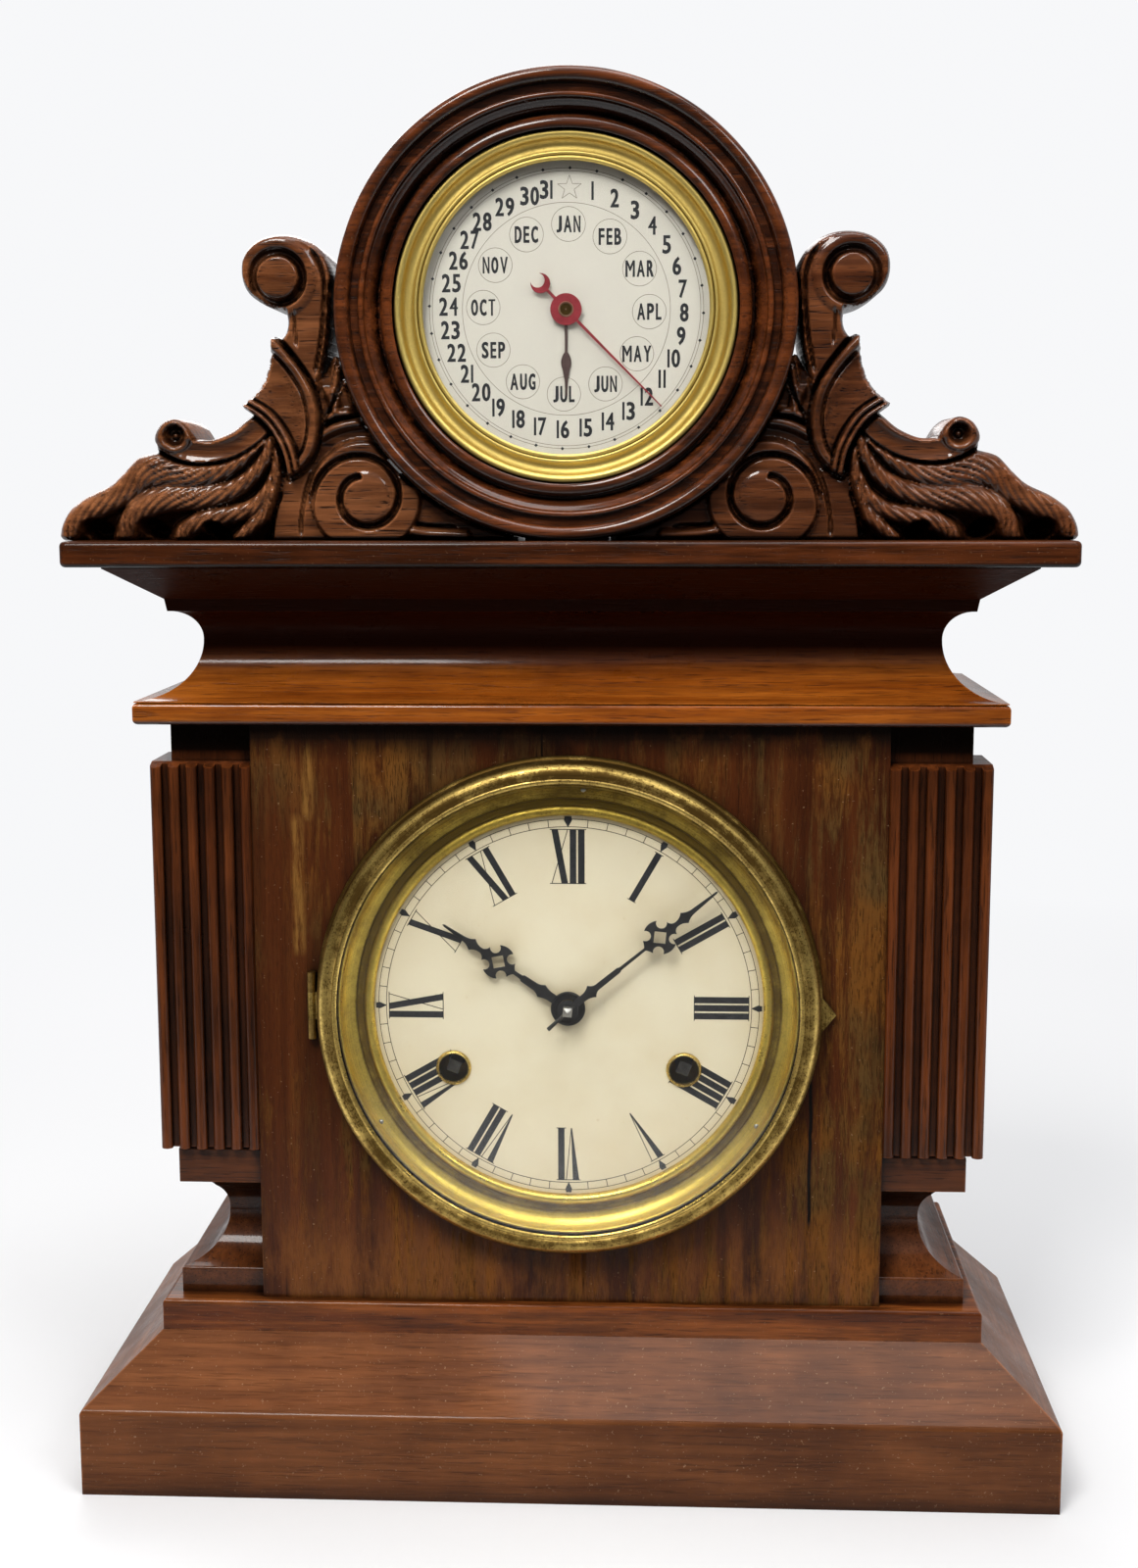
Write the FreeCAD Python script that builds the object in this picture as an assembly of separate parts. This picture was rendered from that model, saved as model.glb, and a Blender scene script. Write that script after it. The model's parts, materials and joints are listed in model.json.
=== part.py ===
"""Mantel clock with a simple calendar: plinth, pilastered case, moulded cornice,
turned calendar ring between two carved ears, glazed brass door over the dial,
spring movement with pendulum and gong, and hinged back door.

Millimetres. X to the right, Y to the back, Z up. The origin is the middle of
the footprint on the table. A positive turn about +Y is clockwise on the dial.
"""
import FreeCAD, Part

import math
import os

V = FreeCAD.Vector
X_AXIS, Y_AXIS, Z_AXIS = V(1, 0, 0), V(0, 1, 0), V(0, 0, 1)

# ---------------------------------------------------------------- driving sizes
BACK = 71.0                   # back face of the case, and minus the front of the plinth
PLINTH_HALF = 178.0
PLINTH_BAND = 32.0            # height of the upright band
PLINTH_TOP = 53.5
PLINTH_SLOPE_RUN = 25.5
PLINTH_STOCK = 40.0           # width of the plinth moulding in plan
BASE_HALF, BASE_FRONT, BASE_TOP = 152.3, -45.4, 65.2
FOOT_HALF, FOOT_FRONT, FOOT_TOP = 146.5, -37.3, 109.0
BLOCK_HALF, BLOCK_FRONT, BLOCK_TOP = 146.0, -39.0, 123.0
POST_INNER, POST_OUTER, POST_FRONT, POST_BACK = 115.0, 151.6, -43.1, -13.0
REED_TOP, CASE_TOP = 268.0, 282.0
REED_COUNT, REED_WIDTH, REED_DEPTH = 6, 4.0, 3.0
NECK_OUTER, NECK_FRONT = 145.0, -36.0
SIDE_OUTER, SIDE_THICK = 142.0, 13.0
FOOT_INNER = 122.0            # inside face of the foot mouldings along the sides
PANEL_FRONT, PANEL_THICK = -41.4, 10.0
BED_HALF, BED_FRONT, BED_TOP = 156.3, -46.1, 290.0
CORNICE_STOCK = 40.0
TOP_HALF, TOP_FRONT, TOP_BOTTOM, TOP_TOP = 175.6, -64.6, 339.0, 348.0

RING_Z, RING_R, RING_FRONT, RING_BACK = 426.7, 79.0, -60.0, -12.0
RING_BORE = 59.4
EAR_FRONT, EAR_FIELD, EAR_BACK = -56.0, -50.0, -20.0
EAR_GAP = 1.6                 # the left ear stands this much further out
EAR_FOOT_X = 14.0             # the foot tapers to a thin edge under the ring

DIAL_X, DIAL_Z = 0.0, 178.7   # centre of the hands
DIAL_FACE, DIAL_SHEET = -42.4, 1.0
DIAL_R = 80.0
SIGHT_R = 70.9
BEZEL_R, BEZEL_FRONT = 92.4, -53.6
WIND_X, WIND_DROP = 42.2, 23.3
MINUTE_ANGLE, HOUR_ANGLE = 50.6, 304.2
MINUTE_LENGTH, HOUR_LENGTH = 69.5, 54.5

PLATE_HALF, PLATE_LOW, PLATE_HIGH = 70.0, 118.0, 232.0
FRONT_PLATE_Y, BACK_PLATE_Y, PLATE_THICK = -24.0, 12.0, 2.0
PIVOT_GAP = 0.05              # radial play of every running pivot

CAL_X, CAL_FACE, CAL_SHEET = 0.0, -47.3, 0.8
DATE_ANGLE, MONTH_ANGLE = 135.0, 180.0

PENDULUM_TOP, BOB_Z, BOB_R = 218.0, 98.0, 20.0
PENDULUM_Y = 26.0

WIRE_X, WIRE_Y, WIRE_R = 10.0, -18.2, 1.2   # lifting wire of the calendar


# ------------------------------------------------------------------- primitives
def box(x0, x1, y0, y1, z0, z1):
    return Part.makeBox(x1 - x0, y1 - y0, z1 - z0, V(x0, y0, z0))


def rod(radius, start, end):
    start, end = V(*start), V(*end)
    return Part.makeCylinder(radius, (end - start).Length, start, end - start)


def disc(radius, y0, y1, x, z):
    return rod(radius, (x, y0, z), (x, y1, z))


def washer(outer, inner, y0, y1, x, z):
    return disc(outer, y0, y1, x, z).cut(disc(inner, y0 - 1, y1 + 1, x, z))


def wire(points, place):
    """A closed wire. A point is (a, b); ('arc', through, end) is an arc from the
    point before; ('curve', p1, p2, ...) is a smooth curve from it through them."""
    edges = []
    last = points[0]
    for item in list(points[1:]) + [points[0]]:
        if item[0] == "arc":
            edges.append(Part.Arc(place(last), place(item[1]), place(item[2])).toShape())
            last = item[2]
        elif item[0] == "curve":
            curve = Part.BSplineCurve()
            curve.interpolate([place(p) for p in (last,) + item[1:]])
            edges.append(curve.toShape())
            last = item[-1]
        elif math.dist(item, last) > 1e-6:
            edges.append(Part.makeLine(place(last), place(item)))
            last = item
    return Part.Wire(edges)


def plate_xz(points, y0, y1):
    """An outline seen from the front, made into a board from y0 to y1."""
    face = Part.Face(wire(points, lambda p: V(p[0], y0, p[1])))
    return face.extrude(V(0, y1 - y0, 0))


def plate_xy(points, z0, z1):
    face = Part.Face(wire(points, lambda p: V(p[0], p[1], z0)))
    return face.extrude(V(0, 0, z1 - z0))


def turned(profile, x, z):
    """A turning about a Y axis; the profile's points are (radius, y)."""
    face = Part.Face(wire(profile, lambda p: V(x + p[0], p[1], z)))
    return face.revolve(V(x, 0, z), Y_AXIS, 360)


def fuse(shapes):
    first, *rest = shapes
    return first.fuse(rest).removeSplitter() if rest else first


def group(shapes):
    return Part.makeCompound(list(shapes))


def mirrored(shape):
    return shape.mirror(V(0, 0, 0), X_AXIS)


def turned_by(shape, angle, x, z):
    """Turn a shape clockwise, seen from the front, about the axis at x, z."""
    copy = shape.copy()
    copy.rotate(V(x, 0, z), Y_AXIS, angle)
    return copy


def soften(shape, radius, wanted):
    edges = [e for e in shape.Edges if wanted(e)]
    return shape.makeFillet(radius, edges)


def gear(teeth, module, y0, y1, x, z, phase):
    """A clock wheel. phase is the direction of one tooth, in degrees from +X
    towards +Z. Teeth are cut slim and short, as cheap clock wheels are."""
    pitch_r = module * teeth / 2
    root_r, tip_r = pitch_r - 0.95 * module, pitch_r + 0.75 * module
    step = 2 * math.pi / teeth
    points = []
    for i in range(teeth):
        middle = math.radians(phase) + i * step
        for radius, share in ((root_r, -0.27), (tip_r, -0.09), (tip_r, 0.09), (root_r, 0.27)):
            angle = middle + share * step
            points.append((x + radius * math.cos(angle), z + radius * math.sin(angle)))
    return plate_xz(points, y0, y1)


def ratchet(teeth, root_r, tip_r, y0, y1, x, z):
    step = 2 * math.pi / teeth
    points = []
    for i in range(teeth):
        for radius, share in ((root_r, 0.0), (tip_r, 0.04), (tip_r, 0.14), (root_r, 0.9)):
            angle = (i + share) * step
            points.append((x + radius * math.cos(angle), z + radius * math.sin(angle)))
    return plate_xz(points, y0, y1)


def direction(start, end):
    return math.degrees(math.atan2(end[1] - start[1], end[0] - start[0]))


def wire_hole(z0, z1):
    """Clearance hole for the calendar's lifting wire."""
    return rod(WIRE_R + 1.0, (WIRE_X, WIRE_Y, z0 - 1), (WIRE_X, WIRE_Y, z1 + 1))


def meshed_phase(teeth, centre, driver_centre):
    """The phase that puts a gap of this gear against a tooth of its driver that
    points along the line of centres."""
    return direction(centre, driver_centre) + 180.0 / teeth


# ------------------------------------------------------------------ mouldings
def run_front(profile, half, front, stock):
    """A moulding along the front, mitred at both ends. The profile's points are
    (inset from the front line, z)."""
    face = Part.Face(wire(profile, lambda p: V(-half, front + p[0], p[1])))
    strip = face.extrude(V(2 * half, 0, 0))
    low = min(v.Z for v in strip.Vertexes) - 1
    high = max(v.Z for v in strip.Vertexes) + 1
    out = 12.0
    plan = [(-half - out, front - out), (half + out, front - out),
            (half - stock, front + stock), (-half + stock, front + stock)]
    return strip.common(plate_xy(plan, low, high))


def long_front(profile, half, front, stock, spread):
    """run_front for a profile that also reaches out past the front line."""
    moved = []
    for item in profile:
        if item[0] == "arc":
            moved.append(("arc",) + tuple((p[0] + spread, p[1]) for p in item[1:]))
        else:
            moved.append((item[0] + spread, item[1]))
    return run_front(moved, half + spread, front - spread, stock + spread)


def run_side(profile, half, front, stock, back):
    """The same moulding along the right side, mitred at the front."""
    face = Part.Face(wire(profile, lambda p: V(half - p[0], front - 12, p[1])))
    strip = face.extrude(V(0, back - front + 12, 0))
    low = min(v.Z for v in strip.Vertexes) - 1
    high = max(v.Z for v in strip.Vertexes) + 1
    out = 12.0
    plan = [(half + out, front - out), (half + out, back),
            (half - stock, back), (half - stock, front + stock)]
    return strip.common(plate_xy(plan, low, high))


PLINTH_PROFILE = [(0, 0), (0, PLINTH_BAND - 1), ("arc", (0.3, PLINTH_BAND - 0.2), (0.9, PLINTH_BAND + 0.6)),
                  (PLINTH_SLOPE_RUN, PLINTH_TOP), (PLINTH_STOCK, PLINTH_TOP), (PLINTH_STOCK, 0)]

FOOT_PROFILE = [(0, BASE_TOP), (0, 74.0), ("arc", (0.3, 74.7), (1.0, 75.0)),
                ("arc", (11.6, 81.0), (15.4, 92.0)),
                ("arc", (14.6, 98.4), (11.1, 103.3)),
                ("arc", (9.0, 105.6), (6.0, 107.0)), (0.5, FOOT_TOP)]

CORNICE_PROFILE = [(0.5, BED_TOP), (0.5, 290.4), ("arc", (15.6, 296.5), (21.8, 311.5)),
                   ("arc", (18.7, 319.1), (11.1, 322.2)), (10.3, 326.6), (-7.4, 338.2),
                   (-7.4, TOP_BOTTOM), (CORNICE_STOCK, TOP_BOTTOM), (CORNICE_STOCK, BED_TOP)]


def plinth_front():
    return run_front(PLINTH_PROFILE, PLINTH_HALF, -BACK, PLINTH_STOCK)


def plinth_sides():
    side = run_side(PLINTH_PROFILE, PLINTH_HALF, -BACK, PLINTH_STOCK, BACK)
    return group([side, mirrored(side)])


def cornice_front():
    reach = -min(p[0] for p in CORNICE_PROFILE if p[0] != "arc")
    moulding = long_front(CORNICE_PROFILE, BED_HALF, BED_FRONT, CORNICE_STOCK, reach)
    return moulding.cut(wire_hole(BED_TOP, TOP_BOTTOM))


def cornice_sides():
    side = run_side(CORNICE_PROFILE, BED_HALF, BED_FRONT, CORNICE_STOCK, BACK)
    return group([side, mirrored(side)])


def foot_mouldings():
    """Block and scotia under each pilaster, running back along the case side."""
    stock_x = FOOT_HALF - FOOT_INNER
    side_profile = FOOT_PROFILE + [(stock_x, FOOT_TOP), (stock_x, BASE_TOP)]
    side = run_side(side_profile, FOOT_HALF, FOOT_FRONT, stock_x, BACK)
    deep = POST_BACK - FOOT_FRONT
    front_profile = FOOT_PROFILE + [(deep, FOOT_TOP), (deep, BASE_TOP)]
    face = Part.Face(wire(front_profile, lambda p: V(POST_INNER, FOOT_FRONT + p[0], p[1])))
    front = face.extrude(V(FOOT_HALF - POST_INNER, 0, 0))
    corner = Part.Face(wire(FOOT_PROFILE + [(stock_x + 20, FOOT_TOP), (stock_x + 20, BASE_TOP)],
                            lambda p: V(FOOT_HALF - p[0], FOOT_FRONT - 1, p[1])))
    front = front.common(corner.extrude(V(0, deep + 2, 0)))
    foot = fuse([side, front])
    return group([foot, mirrored(foot)])


def pilaster_bases():
    block = box(POST_INNER, BLOCK_HALF, BLOCK_FRONT, POST_BACK, FOOT_TOP, BLOCK_TOP)
    rail = box(FOOT_INNER, BLOCK_HALF, POST_BACK, BACK, FOOT_TOP, BLOCK_TOP)
    base = fuse([block, rail])
    base = soften(base, 1.5, lambda e: e.BoundBox.ZMin > BLOCK_TOP - 0.1 and
                  (e.BoundBox.XMin > BLOCK_HALF - 0.1 or e.BoundBox.YMax < BLOCK_FRONT + 0.1))
    return group([base, mirrored(base)])


def pilaster():
    """A corner post: reeded face below, plain neck above."""
    body = box(POST_INNER, POST_OUTER, POST_FRONT + REED_DEPTH, POST_BACK, BLOCK_TOP, REED_TOP)
    pitch = (POST_OUTER - POST_INNER - REED_WIDTH) / (REED_COUNT - 1)
    reeds = []
    for i in range(REED_COUNT):
        left = POST_INNER + i * pitch
        right = left + REED_WIDTH
        base = POST_FRONT + REED_DEPTH
        plan = [(left, base + 1), (left, POST_FRONT + 1.3),
                ("arc", (left + REED_WIDTH / 2, POST_FRONT), (right, POST_FRONT + 1.3)),
                (right, base + 1)]
        reeds.append(plate_xy(plan, BLOCK_TOP, REED_TOP))
    neck = box(POST_INNER, NECK_OUTER, NECK_FRONT, POST_BACK, REED_TOP - 1, CASE_TOP)
    post = fuse([body] + reeds + [neck])
    slope = Part.Face(Part.makePolygon([V(POST_INNER - 1, POST_FRONT - 1, REED_TOP - 2.2),
                                        V(POST_INNER - 1, POST_FRONT - 1, REED_TOP + 1),
                                        V(POST_INNER - 1, NECK_FRONT, REED_TOP + 1),
                                        V(POST_INNER - 1, POST_FRONT - 1, REED_TOP - 2.2)]))
    return post.cut(slope.extrude(V(60, 0, 0)))


# -------------------------------------------------------------------- boards
def base_board():
    board = box(-BASE_HALF, BASE_HALF, BASE_FRONT, BACK, PLINTH_TOP, BASE_TOP)
    return soften(board, 1.5, lambda e: e.BoundBox.ZMin > BASE_TOP - 0.1 and e.BoundBox.YMin < BACK - 1)


def side_board():
    return box(SIDE_OUTER - SIDE_THICK, SIDE_OUTER, POST_BACK, BACK, BLOCK_TOP, CASE_TOP)


def front_panel():
    panel = box(-POST_INNER, POST_INNER, PANEL_FRONT, PANEL_FRONT + PANEL_THICK, BASE_TOP, CASE_TOP)
    panel = panel.cut(disc(14, -50, -20, DIAL_X, DIAL_Z))
    for side in (-1, 1):
        panel = panel.cut(disc(9, -50, -20, DIAL_X + side * WIND_X, DIAL_Z - WIND_DROP))
    return panel


def bed_board():
    board = box(-BED_HALF, BED_HALF, BED_FRONT, BACK, CASE_TOP, BED_TOP)
    board = soften(board, 2.0, lambda e: e.BoundBox.YMin < BACK - 1 and (
        e.BoundBox.ZMin > BED_TOP - 0.1 or e.BoundBox.ZMax < CASE_TOP + 0.1))
    inner = BED_HALF - CORNICE_STOCK
    board = board.cut(box(-inner, inner, 56, BACK + 1, CASE_TOP - 1, BED_TOP + 1))
    return board.cut(wire_hole(CASE_TOP, BED_TOP))


def top_board():
    board = box(-TOP_HALF, TOP_HALF, TOP_FRONT, BACK, TOP_BOTTOM, TOP_TOP)
    board = soften(board, 2.5, lambda e: abs(e.BoundBox.ZLength) > 1 and e.BoundBox.YMin < 0)
    board = soften(board, 1.8, lambda e: e.BoundBox.ZLength < 0.1 and e.BoundBox.YMin < BACK - 1)
    return board.cut(wire_hole(TOP_BOTTOM, TOP_TOP))


BACK_FRAME_Y, BACK_FRAME_THICK = 56.0, 8.0
DOOR_HALF, DOOR_LOW, DOOR_HIGH = 92.0, 84.0, 268.0
DOOR_LAP = 8.0
DOOR_THICK = 4.6
DOOR_Y = BACK_FRAME_Y + BACK_FRAME_THICK + 0.2
DOOR_HINGE_X, DOOR_HINGE_Y, KNUCKLE_R = DOOR_HALF + 2.3, 68.6, 2.1
DOOR_HINGE_Z = (118.0, 234.0)
KNUCKLE_HALF = 12.0


def back_frame():
    """One board that closes the back between the sides and up behind the cornice."""
    low_half = FOOT_INNER
    high_half = BED_HALF - CORNICE_STOCK
    mid_half = SIDE_OUTER - SIDE_THICK
    outline = [(-low_half, BASE_TOP), (low_half, BASE_TOP), (low_half, BLOCK_TOP), (mid_half, BLOCK_TOP),
               (mid_half, CASE_TOP), (high_half, CASE_TOP), (high_half, TOP_BOTTOM),
               (-high_half, TOP_BOTTOM), (-high_half, CASE_TOP), (-mid_half, CASE_TOP),
               (-mid_half, BLOCK_TOP), (-low_half, BLOCK_TOP)]
    board = plate_xz(outline, BACK_FRAME_Y, BACK_FRAME_Y + BACK_FRAME_THICK)
    half = DOOR_HALF - DOOR_LAP
    return board.cut(box(-half, half, 50, BACK, DOOR_LOW + DOOR_LAP, DOOR_HIGH - DOOR_LAP))


def back_door():
    door = box(-DOOR_HALF, DOOR_HALF, DOOR_Y, DOOR_Y + DOOR_THICK, DOOR_LOW, DOOR_HIGH)
    for z in (150.0, 176.0, 202.0):
        door = door.cut(fuse([box(-24, 24, DOOR_Y - 1, DOOR_Y + 9, z - 2.5, z + 2.5),
                              disc(2.5, DOOR_Y - 1, DOOR_Y + 9, -24, z),
                              disc(2.5, DOOR_Y - 1, DOOR_Y + 9, 24, z)]))
    for z in DOOR_HINGE_Z:
        door = door.cut(box(DOOR_HALF - 14.2, DOOR_HALF + 1, DOOR_Y + DOOR_THICK - 1, 80,
                            z - KNUCKLE_HALF - 0.2, z + KNUCKLE_HALF + 0.2))
    return door


def hinge_knuckles(z, spans, pin_hole):
    tubes = [rod(KNUCKLE_R, (DOOR_HINGE_X, DOOR_HINGE_Y, z + a), (DOOR_HINGE_X, DOOR_HINGE_Y, z + b))
             for a, b in spans]
    tube = group(tubes)
    if pin_hole:
        tube = tube.cut(rod(pin_hole, (DOOR_HINGE_X, DOOR_HINGE_Y, z - 20),
                            (DOOR_HINGE_X, DOOR_HINGE_Y, z + 20)))
    return tube.Solids


def back_hinge_plates():
    """Case-side leaves with their two outer knuckles and the fixed pin."""
    parts = []
    surface = BACK_FRAME_Y + BACK_FRAME_THICK
    for z in DOOR_HINGE_Z:
        leaf = box(DOOR_HINGE_X + 0.6, DOOR_HINGE_X + 14, surface, surface + 1.2,
                   z - KNUCKLE_HALF, z + KNUCKLE_HALF)
        lift = box(DOOR_HINGE_X + 0.6, DOOR_HINGE_X + 2.0, surface, DOOR_HINGE_Y,
                   z - KNUCKLE_HALF, z + KNUCKLE_HALF)
        lift = lift.cut(box(DOOR_HINGE_X - 3, DOOR_HINGE_X + 3, surface + 1.2, 80, z - 4.1, z + 4.1))
        leaf = leaf.cut(box(DOOR_HINGE_X - 3, DOOR_HINGE_X + 3, surface - 1, 80, z - 4.1, z + 4.1))
        lift = lift.cut(box(DOOR_HINGE_X - 3, DOOR_HINGE_X + 3, surface - 1, 80, z - 4.1, z + 4.1))
        pin = rod(0.9, (DOOR_HINGE_X, DOOR_HINGE_Y, z - KNUCKLE_HALF),
                  (DOOR_HINGE_X, DOOR_HINGE_Y, z + KNUCKLE_HALF))
        knuckles = hinge_knuckles(z, ((-KNUCKLE_HALF, -4.1), (4.1, KNUCKLE_HALF)), 0)
        parts.append(fuse([leaf, lift, pin] + knuckles))
    return group(parts)


def back_hinge_leaves():
    """Door-side leaves, each with the middle knuckle that turns on the pin."""
    parts = []
    outer = DOOR_Y + DOOR_THICK
    for z in DOOR_HINGE_Z:
        leaf = box(DOOR_HALF - 14, DOOR_HALF, outer - 1, outer, z - KNUCKLE_HALF, z + KNUCKLE_HALF)
        bridge = box(DOOR_HALF - 2, DOOR_HINGE_X, outer - 1, outer, z - 4, z + 4)
        tube = rod(KNUCKLE_R, (DOOR_HINGE_X, DOOR_HINGE_Y, z - 4), (DOOR_HINGE_X, DOOR_HINGE_Y, z + 4))
        solid = fuse([leaf, bridge, tube])
        parts.append(solid.cut(rod(0.9 + PIVOT_GAP, (DOOR_HINGE_X, DOOR_HINGE_Y, z - 20),
                                   (DOOR_HINGE_X, DOOR_HINGE_Y, z + 20))))
    return group(parts)


BUTTON_X, BUTTON_Z = -DOOR_HALF - 5.0, 176.0


def turn_button():
    """Wooden button on the frame, shown turned down, clear of the door's free edge."""
    surface = BACK_FRAME_Y + BACK_FRAME_THICK
    post = disc(4.5, surface + 0.1, DOOR_Y + DOOR_THICK + 0.2, BUTTON_X, BUTTON_Z)
    y0 = DOOR_Y + DOOR_THICK + 0.2
    bar = fuse([box(BUTTON_X - 4.5, BUTTON_X + 4.5, y0, y0 + 1.8, BUTTON_Z - 12, BUTTON_Z),
                disc(4.5, y0, y0 + 1.8, BUTTON_X, BUTTON_Z),
                disc(4.5, y0, y0 + 1.8, BUTTON_X, BUTTON_Z - 12)])
    return fuse([post, bar])


# ------------------------------------------------------------- calendar head
RING_PROFILE = [(RING_BORE, RING_BACK), (RING_R, RING_BACK), (RING_R, RING_FRONT + 3.2),
                (78.0, RING_FRONT + 0.6), (76.6, RING_FRONT), (74.6, RING_FRONT + 0.8),
                (73.6, RING_FRONT + 3.6), (71.2, RING_FRONT + 3.6), (70.6, RING_FRONT + 1.8),
                (69.2, RING_FRONT + 1.8), (68.6, RING_FRONT + 3.4),
                (65.8, RING_FRONT + 4.6), (64.3, RING_FRONT + 8.0),
                (63.6, RING_FRONT + 5.2), (60.2, RING_FRONT + 3.6), (RING_BORE, RING_FRONT + 4.4)]


def calendar_ring():
    ring = turned(RING_PROFILE, CAL_X, RING_Z)
    ring = ring.cut(box(-60, 60, -70, 0, RING_Z - RING_R - 5, TOP_TOP))
    ring = ring.cut(disc(PLATE_R, RING_BACK - 3, RING_BACK + 1, CAL_X, RING_Z))
    return ring.cut(wire_hole(TOP_TOP, RING_Z))


PLATE_R = 66.0


def ear_outline(grow=0.0):
    """Right ear seen from the front: volute foot, leaf tip, small curl, shield
    and scrolled head, then down the turned ring's edge."""
    clear = RING_R + 0.15
    start = math.sqrt(clear ** 2 - (413.0 - RING_Z) ** 2) + CAL_X + 0.4
    foot_z = RING_Z - math.sqrt(clear ** 2 - (EAR_FOOT_X - CAL_X) ** 2)
    mid = math.radians(-48)
    return [(EAR_FOOT_X, TOP_TOP), (175.2, TOP_TOP),
            ("curve", (176.3, 350.2), (175.2, 354.6), (172.0, 359.2), (166.0, 363.4), (158.0, 367.2),
             (152.8, 371.8), (148.0, 376.6), (141.6, 378.6)),
            ("curve", (141.6, 384.0), (139.0, 388.2), (134.3, 389.9), (130.2, 387.4), (127.2, 382.9)),
            ("curve", (121.0, 382.9), (114.5, 385.6), (110.2, 388.9), (107.9, 391.4)),
            (111.9, 394.2),
            ("curve", (107.0, 398.2), (103.6, 402.6), (101.6, 407.9), (100.9, 412.8), (100.6, 417.4)),
            (99.3, 418.2),
            ("curve", (96.8, 417.2), (95.3, 419.4), (94.6, 422.6), (95.0, 426.2)),
            ("curve", (102.0, 428.4), (108.2, 433.0), (110.4, 439.6), (109.0, 446.2), (103.6, 450.8),
             (96.0, 452.3), (88.5, 450.9), (82.0, 446.2), (78.6, 439.0), (79.4, 431.5)),
            ("curve", (79.8, 424.4), (80.6, 415.0), (82.6, 407.0), (84.2, 402.5)),
            (start, 413.0),
            ("arc", (CAL_X + clear * math.cos(mid), RING_Z + clear * math.sin(mid)), (EAR_FOOT_X, foot_z))]


def carved_ear():
    """The sawn ear with its main levels: scrolled head, shield, leaf mass and volute."""
    blank = plate_xz(ear_outline(), EAR_FIELD, EAR_BACK)
    raised = [disc(7.4, EAR_FRONT, EAR_FIELD + 1, 97.8, 437.6),
              washer(17.5, 14.2, EAR_FRONT + 2, EAR_FIELD + 1, 69.0, 363.0),
              disc(9.0, EAR_FRONT + 1, EAR_FIELD + 1, 69.0, 363.0),
              plate_xz([(111.9, 394.2), ("curve", (102.8, 388.4), (97.0, 379.0), (95.2, 370.5)),
                        ("curve", (88.0, 378.0), (84.6, 390.0), (87.6, 402.4), (93.0, 411.4), (99.3, 418.2)),
                        ("curve", (101.4, 408.5), (104.5, 401.2), (111.9, 394.2))],
                       EAR_FRONT + 1.5, EAR_FIELD + 1)]
    limit = plate_xz(ear_outline(), EAR_FRONT - 1, EAR_BACK)
    ear = blank.fuse([r.common(limit) for r in raised])
    for low, high in (((118.0, 353.0), (104.0, 377.0)), ((140.0, 355.0), (106.0, 384.0)),
                      ((160.0, 358.0), (118.0, 378.0))):
        middle = ((low[0] + high[0]) / 2 + 6, (low[1] + high[1]) / 2 - 1)
        groove = plate_xz([low, ("arc", middle, high), (high[0] - 1.8, high[1] - 1.4),
                           ("arc", (middle[0] - 1.5, middle[1] - 3.0), (low[0] - 1.5, low[1] - 1.6))],
                          EAR_FIELD - 1, EAR_FIELD + 3)
        ear = ear.cut(groove)
    return ear.cut(disc(RING_R + 0.1, -70, 0, CAL_X, RING_Z))


def left_ear(ear):
    """The left ear is the mirror image, glued a little further out."""
    return mirrored(ear).translated(V(-EAR_GAP, 0, 0))


def calendar_bezel():
    seat = CAL_FACE - CAL_SHEET
    profile = [(59.2, seat), (59.2, -53.0), (58.4, -54.6), (57.2, -54.6), (56.2, -53.0),
               (54.2, -51.0), (52.3, -52.6), (50.8, -52.6), (50.6, -52.9), (49.2, -52.9),
               (49.2, -51.7), (50.4, -51.7), (50.4, -50.2), (51.6, -50.0), (51.6, seat - 1.4), (53.0, seat)]
    return turned(profile, CAL_X, RING_Z)


def calendar_glass():
    return disc(50.3, -51.5, -50.3, CAL_X, RING_Z)


CAL_IDLER = (CAL_X - 15.0, RING_Z)
DATE_PLANE = -20.4            # front of the daily wheel and of the lever that moves it
LEVER_X, LEVER_Z = 24.0, 404.0


def calendar_dial():
    return washer(59.2, 3.2, CAL_FACE - CAL_SHEET, CAL_FACE, CAL_X, RING_Z)


def calendar_back_plate():
    """Closes the ring at the back and carries the calendar arbor, a stud for the
    idler and a stud for the lever."""
    plate = disc(PLATE_R - 0.1, RING_BACK - 2.8, RING_BACK - 0.8, CAL_X, RING_Z)
    plate = plate.cut(disc(1.5 + PIVOT_GAP, -40, 0, CAL_X, RING_Z))
    idler = disc(1.5, DATE_PLANE - 9.4, RING_BACK - 2.8, *CAL_IDLER)
    lever = disc(1.5, DATE_PLANE - 1.2, RING_BACK - 2.8, LEVER_X, LEVER_Z)
    posts = [disc(2.5, CAL_FACE, RING_BACK - 2.8, CAL_X + 44 * math.cos(a), RING_Z + 44 * math.sin(a))
             for a in (math.radians(20), math.radians(90), math.radians(160))]
    return fuse([plate, idler, lever] + posts)


# ------------------------------------------------------------------ main dial
def dial_plate():
    plate = disc(DIAL_R, DIAL_FACE, DIAL_FACE + DIAL_SHEET, DIAL_X, DIAL_Z)
    plate = plate.cut(disc(4.2, -50, -40, DIAL_X, DIAL_Z))
    for side in (-1, 1):
        plate = plate.cut(disc(5.8, -50, -40, DIAL_X + side * WIND_X, DIAL_Z - WIND_DROP))
    return plate


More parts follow.
